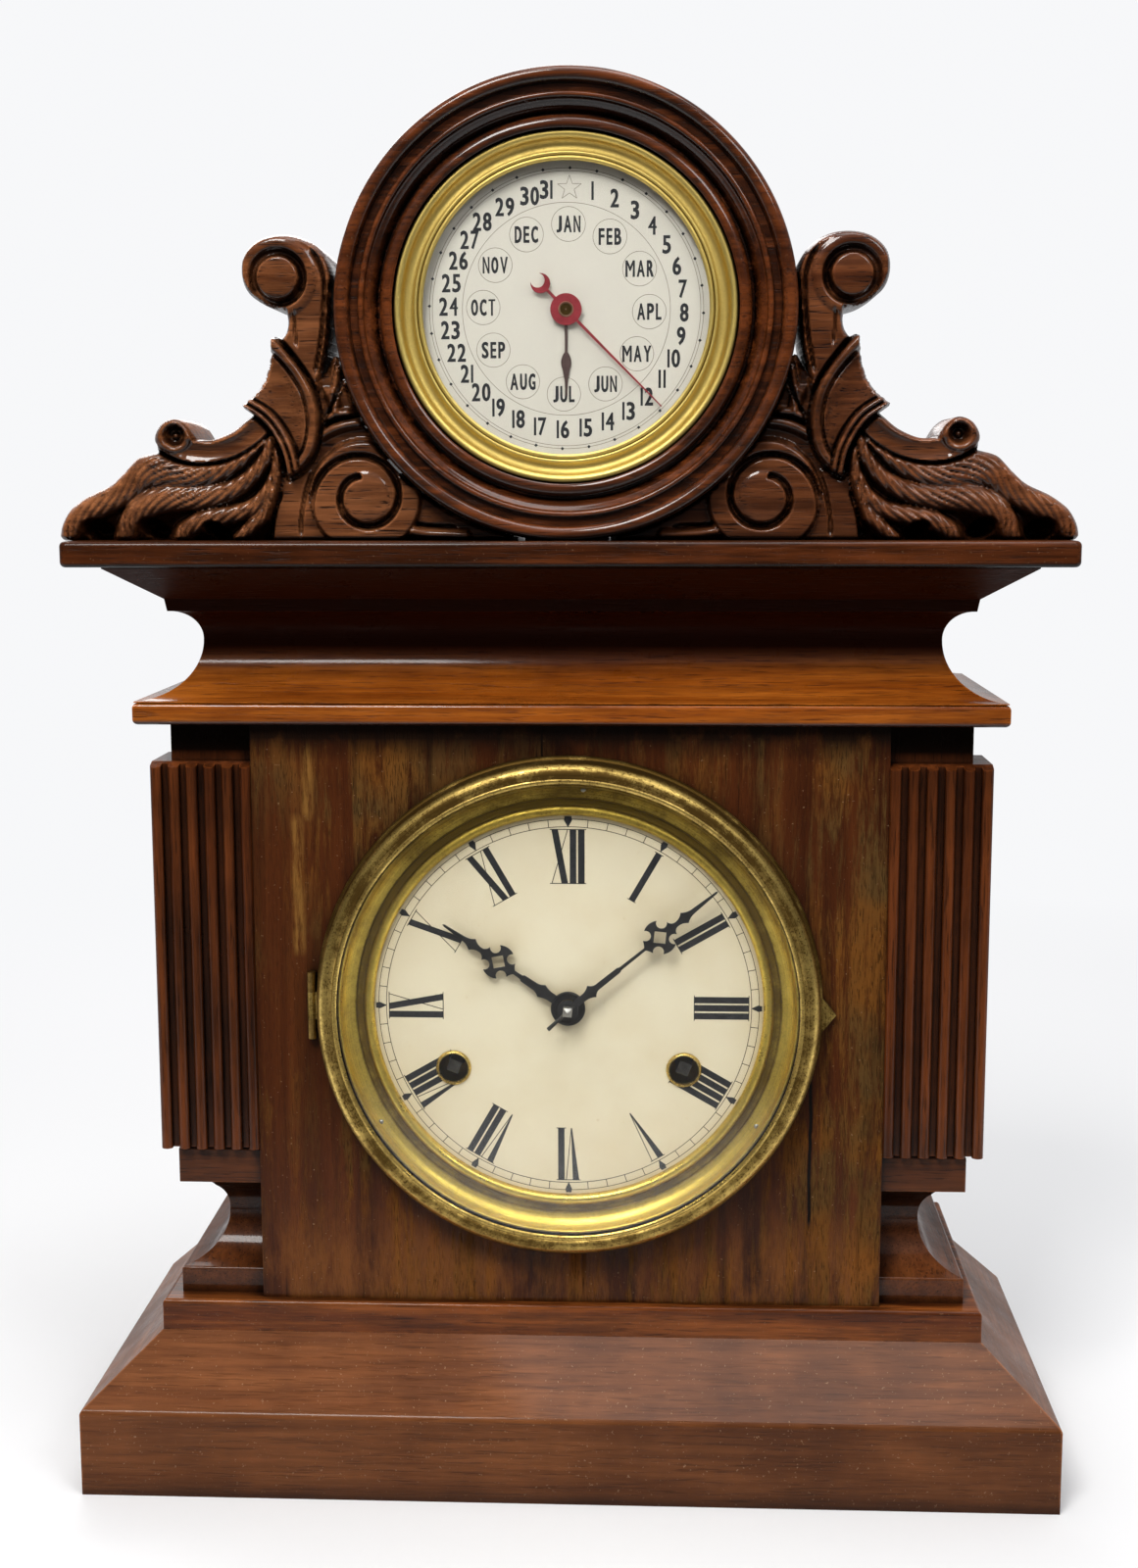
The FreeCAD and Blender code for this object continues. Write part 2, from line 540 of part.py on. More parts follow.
def dial_pan():
    """Spun brass pan, pinned over the dial's edge: bead, hollow and bright dish."""
    profile = [(SIGHT_R, DIAL_FACE), (SIGHT_R, -43.6), (72.0, -44.9), (73.6, -44.9), (75.0, -43.9),
               (76.6, -43.9), (77.4, -44.9), (80.8, -46.4), (82.6, -49.4),
               (83.6, -49.4), (83.6, PANEL_FRONT), (82.6, PANEL_FRONT), (82.6, -47.4), (80.4, -45.2),
               (78.2, -43.6), (77.0, DIAL_FACE)]
    return turned(profile, DIAL_X, DIAL_Z)


def winding_grommets():
    back = DIAL_FACE + DIAL_SHEET
    profile = [(5.3, back), (5.3, DIAL_FACE - 0.8), (6.1, DIAL_FACE - 0.8), (6.5, DIAL_FACE),
               (5.8, DIAL_FACE), (5.8, back)]
    return group([turned(profile, DIAL_X + side * WIND_X, DIAL_Z - WIND_DROP) for side in (-1, 1)])


def dial_bezel():
    """Cast rim of the glazed door with its rolled bead, glass lip and finger tab."""
    rear = PANEL_FRONT - 0.3
    profile = [(BEZEL_R, rear), (BEZEL_R, -43.8), (91.3, -44.8),
               (91.2, -46.6), (91.2, -49.4), (89.8, -52.6), (87.4, BEZEL_FRONT), (86.0, BEZEL_FRONT),
               (85.4, -53.0), (83.6, -52.8), (83.6, -52.3), (85.6, -52.3), (85.6, -51.0), (84.8, -50.8),
               (84.8, -49.4), (87.0, -48.0), (88.6, rear)]
    rim = turned(profile, DIAL_X, DIAL_Z)
    x = DIAL_X + BEZEL_R
    tab_outline = [(x - 1.0, DIAL_Z + 4.6), (x + 5.1, DIAL_Z - 2.0), (x - 1.0, DIAL_Z - 8.6)]
    tab = plate_xz(tab_outline, rear - 2.2, rear)
    return fuse([rim, tab])


def dial_glass():
    """Slightly domed glass of even thickness, held behind the bezel's lip."""
    edge, dome = 85.4, 2.4
    front, back = -52.2, -51.0
    sphere_r = (edge ** 2 + dome ** 2) / (2 * dome)
    outer = Part.makeSphere(sphere_r, V(DIAL_X, front - dome + sphere_r, DIAL_Z))
    inner = Part.makeSphere(sphere_r, V(DIAL_X, back - dome + sphere_r, DIAL_Z))
    blank = disc(edge, front - dome - 1, back, DIAL_X, DIAL_Z)
    return blank.common(outer).cut(inner)


HINGE_X, HINGE_Y, HINGE_HALF = DIAL_X - BEZEL_R - 1.6, -43.6, 12.5


def dial_hinge_plate():
    """Case-side leaf let in beside the bezel, two knuckles and the hinge pin."""
    leaf = box(HINGE_X - 0.9, HINGE_X + 0.9, HINGE_Y, PANEL_FRONT, DIAL_Z - HINGE_HALF, DIAL_Z + HINGE_HALF)
    leaf = leaf.cut(box(HINGE_X - 3, HINGE_X + 3, HINGE_Y - 3, PANEL_FRONT - 0.1,
                        DIAL_Z - 5.1, DIAL_Z + 5.1))
    knuckles = [rod(1.6, (HINGE_X, HINGE_Y, DIAL_Z + a), (HINGE_X, HINGE_Y, DIAL_Z + b))
                for a, b in ((-HINGE_HALF, -5.1), (5.1, HINGE_HALF))]
    pin = rod(0.7, (HINGE_X, HINGE_Y, DIAL_Z - HINGE_HALF), (HINGE_X, HINGE_Y, DIAL_Z + HINGE_HALF))
    return fuse([leaf, pin] + knuckles)


def bezel_with_knuckle():
    """The bezel carries the middle knuckle of its hinge, and is cut away round
    the two fixed knuckles."""
    bezel = dial_bezel()
    knuckle = rod(1.6, (HINGE_X, HINGE_Y, DIAL_Z - 5), (HINGE_X, HINGE_Y, DIAL_Z + 5))
    arm = box(HINGE_X, HINGE_X + 5.0, HINGE_Y - 0.8, HINGE_Y + 0.8, DIAL_Z - 5, DIAL_Z + 5)
    bezel = bezel.fuse([knuckle, arm]).removeSplitter()
    bore = rod(0.7 + PIVOT_GAP, (HINGE_X, HINGE_Y, DIAL_Z - 20), (HINGE_X, HINGE_Y, DIAL_Z + 20))
    bezel = bezel.cut(bore)
    for a, b in ((-HINGE_HALF - 0.2, -5.0), (5.0, HINGE_HALF + 0.2)):
        bezel = bezel.cut(rod(1.9, (HINGE_X, HINGE_Y, DIAL_Z + a), (HINGE_X, HINGE_Y, DIAL_Z + b)))
    return bezel


# ---------------------------------------------------------------------- hands
def cross_outline(s):
    """Open cross on a hand: four flared arms with a hollow between each pair,
    centred at distance s along the hand."""
    tip, half, waist = 5.9, 2.8, 2.55
    return [(-half, s - tip), (half, s - tip), ("arc", (waist, s - waist), (tip, s - half)), (tip, s + half),
            ("arc", (waist, s + waist), (half, s + tip)), (-half, s + tip),
            ("arc", (-waist, s + waist), (-tip, s + half)), (-tip, s - half),
            ("arc", (-waist, s - waist), (-half, s - tip))]


def hand(y0, thick, boss_r, bore_r, cross_at, baluster_at, tip_at):
    """A hand pointing up from the origin: boss, baluster, stem, open cross, spear."""
    y1 = y0 + thick
    boss = disc(boss_r, y0, y1, 0, 0)
    b = baluster_at
    stem = plate_xz([(-1.2, 0), (-1.2, boss_r), (-1.1, b - 3.0), (-2.6, b), (-1.3, b + 3.4), (-0.7, b + 9),
                     (-0.7, cross_at - 5), (0.7, cross_at - 5), (0.7, b + 9), (1.3, b + 3.4), (2.6, b),
                     (1.1, b - 3.0), (1.2, boss_r), (1.2, 0)], y0, y1)
    cross = plate_xz(cross_outline(cross_at), y0, y1)
    w = 3.2
    window = plate_xz([(0, cross_at - w), (w, cross_at), (0, cross_at + w), (-w, cross_at)], y0 - 1, y1 + 1)
    s = cross_at + 5.5
    half_spear = [(1.5, s), (1.0, s + 3.0), (2.3, s + 5.2), (1.0, s + 10.0), (0.7, s + 14.0)]
    spear = plate_xz([(-a, b) for a, b in half_spear] + [(0, tip_at)] + half_spear[::-1], y0, y1)
    return fuse([boss, stem, cross, spear]).cut(window).cut(disc(bore_r, y0 - 1, y1 + 1, 0, 0))


def set_hand(shape, angle, x, z):
    shape.rotate(V(0, 0, 0), Y_AXIS, angle)
    shape.translate(V(x, 0, z))
    return shape


PIPE_OUTER, PIPE_INNER = 3.6, 2.45
CENTRE_R, TIP_R = PIPE_INNER - PIVOT_GAP, 1.7


def minute_hand():
    return set_hand(hand(-48.0, 0.9, 3.8, TIP_R, 43.0, 9.5, MINUTE_LENGTH), MINUTE_ANGLE, DIAL_X, DIAL_Z)


def hour_hand():
    shape = hand(-45.4, 0.9, 6.3, PIPE_OUTER, 30.9, 12.5, HOUR_LENGTH)
    return set_hand(shape, HOUR_ANGLE, DIAL_X, DIAL_Z)


# ---------------------------------------------------------------- motion work
MOTION_DIR = math.radians(205)
MOTION_GAP = 16.0
MOTION_STUD = (DIAL_X + MOTION_GAP * math.cos(MOTION_DIR), DIAL_Z + MOTION_GAP * math.sin(MOTION_DIR))
CENTRE = (DIAL_X, DIAL_Z)
CANNON_TEETH, MINUTE_TEETH, REDUCER_TEETH, HOUR_TEETH = 10, 30, 10, 40
CANNON_MODULE = 2 * MOTION_GAP / (CANNON_TEETH + MINUTE_TEETH)
HOUR_MODULE = 2 * MOTION_GAP / (REDUCER_TEETH + HOUR_TEETH)

SECOND_TEETH, SECOND_PINION, SECOND_MODULE = 48, 12, 0.7
GREAT_TEETH, GREAT_MODULE = 72, 0.75
SECOND_TO_CENTRE = SECOND_MODULE * (SECOND_TEETH + SECOND_PINION) / 2
GREAT_TO_SECOND = GREAT_MODULE * (GREAT_TEETH + SECOND_PINION) / 2
WIND_RIGHT = (DIAL_X + WIND_X, DIAL_Z - WIND_DROP)
WIND_LEFT = (DIAL_X - WIND_X, DIAL_Z - WIND_DROP)


def crossing(a, ra, b, rb, side):
    """The point at distance ra from a and rb from b."""
    span = math.dist(a, b)
    along = (ra ** 2 - rb ** 2 + span ** 2) / (2 * span)
    off = side * math.sqrt(ra ** 2 - along ** 2)
    ux, uz = (b[0] - a[0]) / span, (b[1] - a[1]) / span
    return (a[0] + along * ux - off * uz, a[1] + along * uz + off * ux)


SECOND_ARBOR = crossing(CENTRE, SECOND_TO_CENTRE, WIND_RIGHT, GREAT_TO_SECOND, 1)
VERGE_Z = PENDULUM_TOP
ESCAPE = (DIAL_X, VERGE_Z - 15.0)
ESCAPE_R = 11.0


def centre_arbor():
    """Centre arbor with its going pinion and, in front of the plate, the cannon pinion."""
    arbor = disc(CENTRE_R, -47.0, BACK_PLATE_Y, *CENTRE)
    tip = disc(TIP_R, -50.4, -47.0, *CENTRE)
    pivot = disc(1.2, BACK_PLATE_Y, BACK_PLATE_Y + PLATE_THICK + 1, *CENTRE)
    going = gear(SECOND_PINION, SECOND_MODULE, -20.0, -15.5, *CENTRE, direction(CENTRE, SECOND_ARBOR))
    cannon = gear(CANNON_TEETH, CANNON_MODULE, -28.0, -25.2, *CENTRE, direction(CENTRE, MOTION_STUD))
    return fuse([arbor, tip, pivot, going, cannon])


def hour_wheel():
    wheel = gear(HOUR_TEETH, HOUR_MODULE, -30.6, -29.4, *CENTRE,
                 meshed_phase(HOUR_TEETH, CENTRE, MOTION_STUD))
    pipe = disc(PIPE_OUTER, -46.0, -28.8, *CENTRE)
    return fuse([wheel, pipe]).cut(disc(PIPE_INNER, -60, -20, *CENTRE))


def minute_wheel():
    wheel = gear(MINUTE_TEETH, CANNON_MODULE, -27.2, -26.0, *MOTION_STUD,
                 meshed_phase(MINUTE_TEETH, MOTION_STUD, CENTRE))
    pinion = gear(REDUCER_TEETH, HOUR_MODULE, -31.0, -27.2, *MOTION_STUD, direction(MOTION_STUD, CENTRE))
    return fuse([wheel, pinion]).cut(disc(1.5 + PIVOT_GAP, -40, -20, *MOTION_STUD))


# ------------------------------------------------------------------- movement
def plate_outline():
    low_cut, high_cut = 8.0, 24.0
    w, lo, hi = PLATE_HALF, PLATE_LOW, PLATE_HIGH
    return [(-w + low_cut, lo), (w - low_cut, lo), (w, lo + low_cut), (w, hi - high_cut), (w - high_cut, hi),
            (-w + high_cut, hi), (-w, hi - high_cut), (-w, lo + low_cut)]


PILLARS = [(-64, 131.5), (64, 131.5), (-44, 222), (44, 222)]


def movement_plate(y0, pivots):
    plate = plate_xz(plate_outline(), y0, y0 + PLATE_THICK)
    for x, z, r in pivots:
        plate = plate.cut(disc(r, y0 - 1, y0 + PLATE_THICK + 1, x, z))
    for x, z in PILLARS:
        plate = plate.cut(disc(2.5, y0 - 1, y0 + PLATE_THICK + 1, x, z))
    return plate


def movement_front_plate():
    g = PIVOT_GAP
    plate = movement_plate(FRONT_PLATE_Y, [(*CENTRE, CENTRE_R + g), (*WIND_LEFT, 3.5 + g),
                                           (*WIND_RIGHT, 3.5 + g), (*SECOND_ARBOR, 1.0 + g),
                                           (*ESCAPE, 0.9 + g), (DIAL_X, VERGE_Z, 0.9 + g)])
    stud = disc(1.5, -31.2, FRONT_PLATE_Y, *MOTION_STUD)
    return fuse([plate, stud])


def movement_back_plate():
    g = PIVOT_GAP
    plate = movement_plate(BACK_PLATE_Y, [(*CENTRE, 1.2 + g), (*WIND_LEFT, 2.5 + g), (*WIND_RIGHT, 2.5 + g),
                                          (*SECOND_ARBOR, 1.0 + g), (*ESCAPE, 0.9 + g),
                                          (DIAL_X, VERGE_Z, 3.0), (*HAMMER, 2.0 + g)])
    return plate


def movement_pillars():
    parts = []
    for x, z in PILLARS:
        shaft = disc(3.6, FRONT_PLATE_Y + PLATE_THICK, BACK_PLATE_Y, x, z)
        through = disc(2.5, FRONT_PLATE_Y, BACK_PLATE_Y + PLATE_THICK, x, z)
        foot = disc(4.6, PANEL_FRONT + PANEL_THICK, FRONT_PLATE_Y, x, z)
        parts.append(fuse([shaft, through, foot]))
    return group(parts)


SPRING_R, SPRING_Y0, SPRING_Y1 = 26.5, -4.0, 10.5


def mainsprings():
    """The two open mainsprings, coiled; each outer end is looped on a pillar's side."""
    coils = []
    for x, z in (WIND_LEFT, WIND_RIGHT):
        rings = [washer(r, r - 1.6, SPRING_Y0, SPRING_Y1, x, z) for r in (SPRING_R, 20.5, 14.5, 8.5)]
        ties = [box(x - SPRING_R + 0.8, x - 7.5, SPRING_Y0, SPRING_Y1, z - 0.6, z + 0.6)]
        coils.append(fuse(rings + ties))
    return group(coils)


def great_wheel(centre, phase):
    """Great wheel turning freely on its winding arbor, with the click riveted on."""
    x, z = centre
    wheel = gear(GREAT_TEETH, GREAT_MODULE, -12.0, -9.6, x, z, phase)
    for i in range(4):
        a = math.radians(45 + 90 * i)
        wheel = wheel.cut(disc(6.2, -20, 0, x + 17.0 * math.cos(a), z + 17.0 * math.sin(a)))
    finger = [(x - 1.2, z + 14.6), (x + 1.2, z + 12.4), (x + 5.6, z + 8.6), (x + 6.6, z + 10.2)]
    click = fuse([disc(2.4, -9.6, -7.2, x, z + 13.4), plate_xz(finger, -9.6, -7.4)])
    return fuse([wheel, click]).cut(disc(3.5 + PIVOT_GAP, -20, 0, x, z))


def winding_arbor(centre):
    """Winding arbor: squared front end for the key, ratchet, and spring hub."""
    x, z = centre
    square = box(x - 2.3, x + 2.3, -40.6, -26.0, z - 2.3, z + 2.3)
    square = turned_by(square, 22.0, x, z)
    shaft = disc(3.5, -27.0, -9.2, x, z)
    wheel = ratchet(16, 8.0, 9.9, -9.2, -7.4, x, z)
    hub = disc(5.5, -7.4, SPRING_Y1, x, z)
    pivot = disc(2.5, SPRING_Y1, BACK_PLATE_Y + PLATE_THICK + 1.5, x, z)
    return fuse([square, shaft, wheel, hub, pivot])


def second_wheel():
    x, z = SECOND_ARBOR
    arbor = disc(1.6, FRONT_PLATE_Y + PLATE_THICK + 0.3, BACK_PLATE_Y - 0.3, x, z)
    pivots = disc(1.0, FRONT_PLATE_Y, BACK_PLATE_Y + PLATE_THICK, x, z)
    pinion = gear(SECOND_PINION, GREAT_MODULE, -13.0, -8.6, x, z,
                  meshed_phase(SECOND_PINION, SECOND_ARBOR, WIND_RIGHT))
    wheel = gear(SECOND_TEETH, SECOND_MODULE, -18.6, -17.2, x, z,
                 meshed_phase(SECOND_TEETH, SECOND_ARBOR, CENTRE))
    return fuse([arbor, pivots, pinion, wheel])


def escape_wheel():
    x, z = ESCAPE
    wheel = ratchet(30, ESCAPE_R - 2.2, ESCAPE_R, -14.0, -12.8, x, z)
    arbor = disc(1.4, FRONT_PLATE_Y + PLATE_THICK + 0.3, BACK_PLATE_Y - 0.3, x, z)
    pivots = disc(0.9, FRONT_PLATE_Y, BACK_PLATE_Y + PLATE_THICK, x, z)
    return fuse([wheel, arbor, pivots])


def verge():
    """Verge arbor with the strip pallets over the escape wheel and the crutch
    behind the plates, whose loop goes round the pendulum rod."""
    x, z = DIAL_X, VERGE_Z
    front = disc(0.9, FRONT_PLATE_Y, FRONT_PLATE_Y + PLATE_THICK + 1, x, z)
    arbor = disc(1.5, FRONT_PLATE_Y + PLATE_THICK + 0.3, 20.0, x, z)
    half_strip = [(0.0, 2.4), (9.0, -2.0), (9.6, -6.4), (8.4, -6.2), (7.6, -3.2), (0.0, -2.6)]
    outline = half_strip + [(-a, b) for a, b in half_strip[-2:0:-1]]
    strip = plate_xz([(x + a, z + b) for a, b in outline], -15.0, -11.8)
    crutch = box(x - 1.0, x + 1.0, 18.0, 20.0, z - 34.0, z)
    loop = box(x - 3.2, x + 3.2, 18.0, 32.0, z - 36.0, z - 33.4)
    loop = loop.cut(box(x - 1.8, x + 1.8, 21.0, 30.4, z - 40.0, z - 30.0))
    return fuse([front, arbor, strip, crutch, loop])


HAMMER = (-58.0, 190.0)


def suspension_cock():
    """Bracket on the back plate that holds the suspension spring's top block."""
    x = DIAL_X
    y0 = BACK_PLATE_Y + PLATE_THICK
    foot = box(x - 9, x + 9, y0, y0 + 2, PENDULUM_TOP + 4.6, PLATE_HIGH - 1)
    arm = box(x - 4, x + 4, y0 + 2, PENDULUM_Y + 4, PENDULUM_TOP + 5.6, PENDULUM_TOP + 9.6)
    slot = box(x - 2.0, x + 2.0, PENDULUM_Y - 2.2, PENDULUM_Y + 2.2, 0, 400)
    return fuse([foot, arm]).cut(slot)


def pendulum_rod():
    """Suspension spring in its top block, hook, rod and rating screw."""
    x, y = DIAL_X, PENDULUM_Y
    block = box(x - 1.0, x + 1.0, y - 2.0, y + 2.0, PENDULUM_TOP + 6.0, PENDULUM_TOP + 9.0)
    spring = box(x - 0.3, x + 0.3, y - 2.0, y + 2.0, PENDULUM_TOP - 6.0, PENDULUM_TOP + 6.0)
    hook = box(x - 1.6, x + 1.6, y - 2.4, y + 2.4, PENDULUM_TOP - 10.0, PENDULUM_TOP - 6.0)
    shaft = rod(1.1, (x, y, BOB_Z - BOB_R - 8.0), (x, y, PENDULUM_TOP - 8.0))
    nut = rod(3.4, (x, y, BOB_Z - BOB_R - 5.5), (x, y, BOB_Z - BOB_R - 2.5))
    return fuse([block, spring, hook, shaft, nut])


def pendulum_bob():
    y = PENDULUM_Y
    profile = [(0, y - 4.8), ("arc", (BOB_R * 0.6, y - 3.2), (BOB_R, y - 0.6)),
               (BOB_R, y + 0.6), ("arc", (BOB_R * 0.6, y + 3.2), (0, y + 4.8))]
    lens = turned(profile, DIAL_X, BOB_Z)
    return lens.cut(rod(1.1, (DIAL_X, PENDULUM_Y, 40), (DIAL_X, PENDULUM_Y, 160)))


def strike_hammer():
    """Hammer on its own arbor: the stem hangs behind the back plate and the
    head waits just beside the gong's outer turn."""
    x, z = HAMMER
    y = GONG_Y + 1.5
    arbor = disc(2.0, -10.0, y + 2.0, x, z)
    collar = disc(3.5, BACK_PLATE_Y + PLATE_THICK + 0.4, BACK_PLATE_Y + PLATE_THICK + 3.4, x, z)
    hub = disc(4.2, y - 2.5, y + 2.5, x, z)
    reach = GONG_X - GONG_R - 2.6
    stem = rod(1.2, (x, y, z), (reach - 6.0, y, GONG_Z))
    head = rod(4.5, (reach - 12.0, y, GONG_Z), (reach, y, GONG_Z))
    return fuse([arbor, collar, hub, stem, head])


GONG_X, GONG_Z, GONG_Y, GONG_R = -38.0, 106.0, 38.0, 26.0
GONG_WIRE, GONG_PITCH, GONG_HALF_TURNS = 2.4, 6.0, 6


def gong():
    """Flat spiral gong, made of half circles, on an iron post screwed to the base."""
    step = GONG_PITCH / 2
    radius, centre, side = GONG_R, GONG_X, 1
    spiral = []
    for i in range(GONG_HALF_TURNS):
        start = (centre + side * radius, GONG_Z)
        mid_out = (centre, GONG_Z + side * radius)
        mid_in = (centre, GONG_Z + side * (radius - GONG_WIRE))
        end = (centre - side * radius, GONG_Z)
        outer = [start, ("arc", mid_out, end), (end[0] + side * GONG_WIRE, end[1]),
                 ("arc", mid_in, (start[0] - side * GONG_WIRE, start[1]))]
        spiral.append(plate_xz(outer, GONG_Y, GONG_Y + 3.0))
        radius -= step
        centre += -side * step
        side = -side
    post_x = GONG_X + GONG_R
    post = box(post_x - GONG_WIRE, post_x + 5.0, GONG_Y - 4.0, GONG_Y + 7.0, BASE_TOP, GONG_Z)
    foot = box(post_x - 12.0, post_x + 12.0, GONG_Y - 7.0, GONG_Y + 10.0, BASE_TOP, BASE_TOP + 4.0)
    return fuse(spiral + [post, foot])


# -------------------------------------------------------------- calendar works
DATE_TEETH_DRIVE, IDLER_WHEEL, IDLER_PINION, MONTH_TEETH = 10, 30, 10, 40
CAL_GAP = 15.0
DATE_MODULE = 2 * CAL_GAP / (DATE_TEETH_DRIVE + IDLER_WHEEL)
MONTH_MODULE = 2 * CAL_GAP / (IDLER_PINION + MONTH_TEETH)
CAL_CENTRE = (CAL_X, RING_Z)
MONTH_PIPE_OUTER, MONTH_PIPE_INNER = 3.0, 2.05


def date_wheel():
    """Date arbor with the 32-tooth daily wheel and the pinion that drives the months."""
    arbor = disc(2.0, -50.0, RING_BACK - 3.1, *CAL_CENTRE)
    pivot = disc(1.5, RING_BACK - 3.2, RING_BACK - 0.6, *CAL_CENTRE)
    wheel = ratchet(32, 10.9, 12.6, DATE_PLANE, DATE_PLANE + 1.2, *CAL_CENTRE)
    pinion = gear(DATE_TEETH_DRIVE, DATE_MODULE, DATE_PLANE - 3.6, DATE_PLANE - 0.4, *CAL_CENTRE,
                  direction(CAL_CENTRE, CAL_IDLER))
    return fuse([arbor, pivot, wheel, pinion])


def calendar_idler():
    wheel = gear(IDLER_WHEEL, DATE_MODULE, DATE_PLANE - 3.0, DATE_PLANE - 1.8, *CAL_IDLER,
                 meshed_phase(IDLER_WHEEL, CAL_IDLER, CAL_CENTRE))
    pinion = gear(IDLER_PINION, MONTH_MODULE, DATE_PLANE - 8.2, DATE_PLANE - 3.0, *CAL_IDLER,
                  direction(CAL_IDLER, CAL_CENTRE))
    return fuse([wheel, pinion]).cut(disc(1.5 + PIVOT_GAP, -50, -20, *CAL_IDLER))


def month_wheel():
    back = DATE_PLANE - 5.4
    wheel = gear(MONTH_TEETH, MONTH_MODULE, back - 1.2, back, *CAL_CENTRE,
                 meshed_phase(MONTH_TEETH, CAL_CENTRE, CAL_IDLER))
    pipe = disc(MONTH_PIPE_OUTER, -48.9, back, *CAL_CENTRE)
    return fuse([wheel, pipe]).cut(disc(MONTH_PIPE_INNER, -60, -20, *CAL_CENTRE))


def date_hand():
    y0, y1 = -49.9, -49.4
    boss = disc(5.4, y0, y1, 0, 0)
    needle = plate_xz([(-0.7, 0), (-0.35, 46.5), (0.35, 46.5), (0.7, 0)], y0, y1)
    tail = box(-0.7, 0.7, y0, y1, -10, 0)
    moon = disc(3.4, y0, y1, 0, -12.3).cut(disc(2.6, y0 - 1, y1 + 1, 0.0, -13.9))
    nut = turned([(2.0, -50.2), (2.6, -50.0), (2.6, y0 + 0.1), (2.0, y0 + 0.1)], 0, 0)
    shape = fuse([boss, needle, tail, moon, nut]).cut(disc(2.0, -60, -40, 0, 0))
    return set_hand(shape, DATE_ANGLE, *CAL_CENTRE)


def month_hand():
    y0, y1 = -48.8, -48.3
    boss = disc(4.2, y0, y1, 0, 0)
    blade = plate_xz([(-0.55, 0), (-0.55, 15.0), ("arc", (-1.7, 17.4), (-1.1, 20.0)), (-0.25, 29.4),
                      (0.25, 29.4), (1.1, 20.0), ("arc", (1.7, 17.4), (0.55, 15.0)), (0.55, 0)], y0, y1)
    shape = fuse([boss, blade]).cut(disc(MONTH_PIPE_OUTER, -60, -40, 0, 0))
    return set_hand(shape, MONTH_ANGLE, *CAL_CENTRE)


LEVER_ARM = LEVER_X - WIRE_X


def calendar_lever():
    """Bell-crank on a stud: its pin is lifted by the wire, its pawl arm reaches
    up beside the 32-tooth wheel."""
    y0, y1 = DATE_PLANE, DATE_PLANE + 1.2
    hub = disc(3.4, y0, y1, LEVER_X, LEVER_Z)
    arm = plate_xz([(LEVER_X, LEVER_Z - 1.6), (LEVER_X, LEVER_Z + 1.6), (WIRE_X, LEVER_Z + 1.2),
                    (WIRE_X, LEVER_Z - 1.2)], y0, y1)
    pin = disc(0.9, y0, WIRE_Y + 1.3, WIRE_X, LEVER_Z)
    pawl = plate_xz([(LEVER_X - 1.6, LEVER_Z), (LEVER_X - 2.6, LEVER_Z + 14.0),
                     (LEVER_X - 11.0, LEVER_Z + 21.6), (LEVER_X - 10.0, LEVER_Z + 23.2),
                     (LEVER_X - 0.4, LEVER_Z + 15.4), (LEVER_X + 1.6, LEVER_Z)], y0, y1)
    return fuse([hub, arm, pin, pawl]).cut(disc(1.5 + PIVOT_GAP, -40, 0, LEVER_X, LEVER_Z))


def drive_wire():
    """Lifting wire from the movement up through the boards to the lever's pin."""
    wire_low = PLATE_HIGH + 4.0
    shaft = rod(WIRE_R, (WIRE_X, WIRE_Y, wire_low), (WIRE_X, WIRE_Y, LEVER_Z - 3.0))
    eye = washer(3.8, 2.5, WIRE_Y - 0.8, WIRE_Y + 0.8, WIRE_X, LEVER_Z)
    foot = box(WIRE_X - 3.5, WIRE_X + 3.5, WIRE_Y - 2.0, WIRE_Y + 2.0, wire_low - 1.5, wire_low)
    return fuse([shaft, eye, foot])


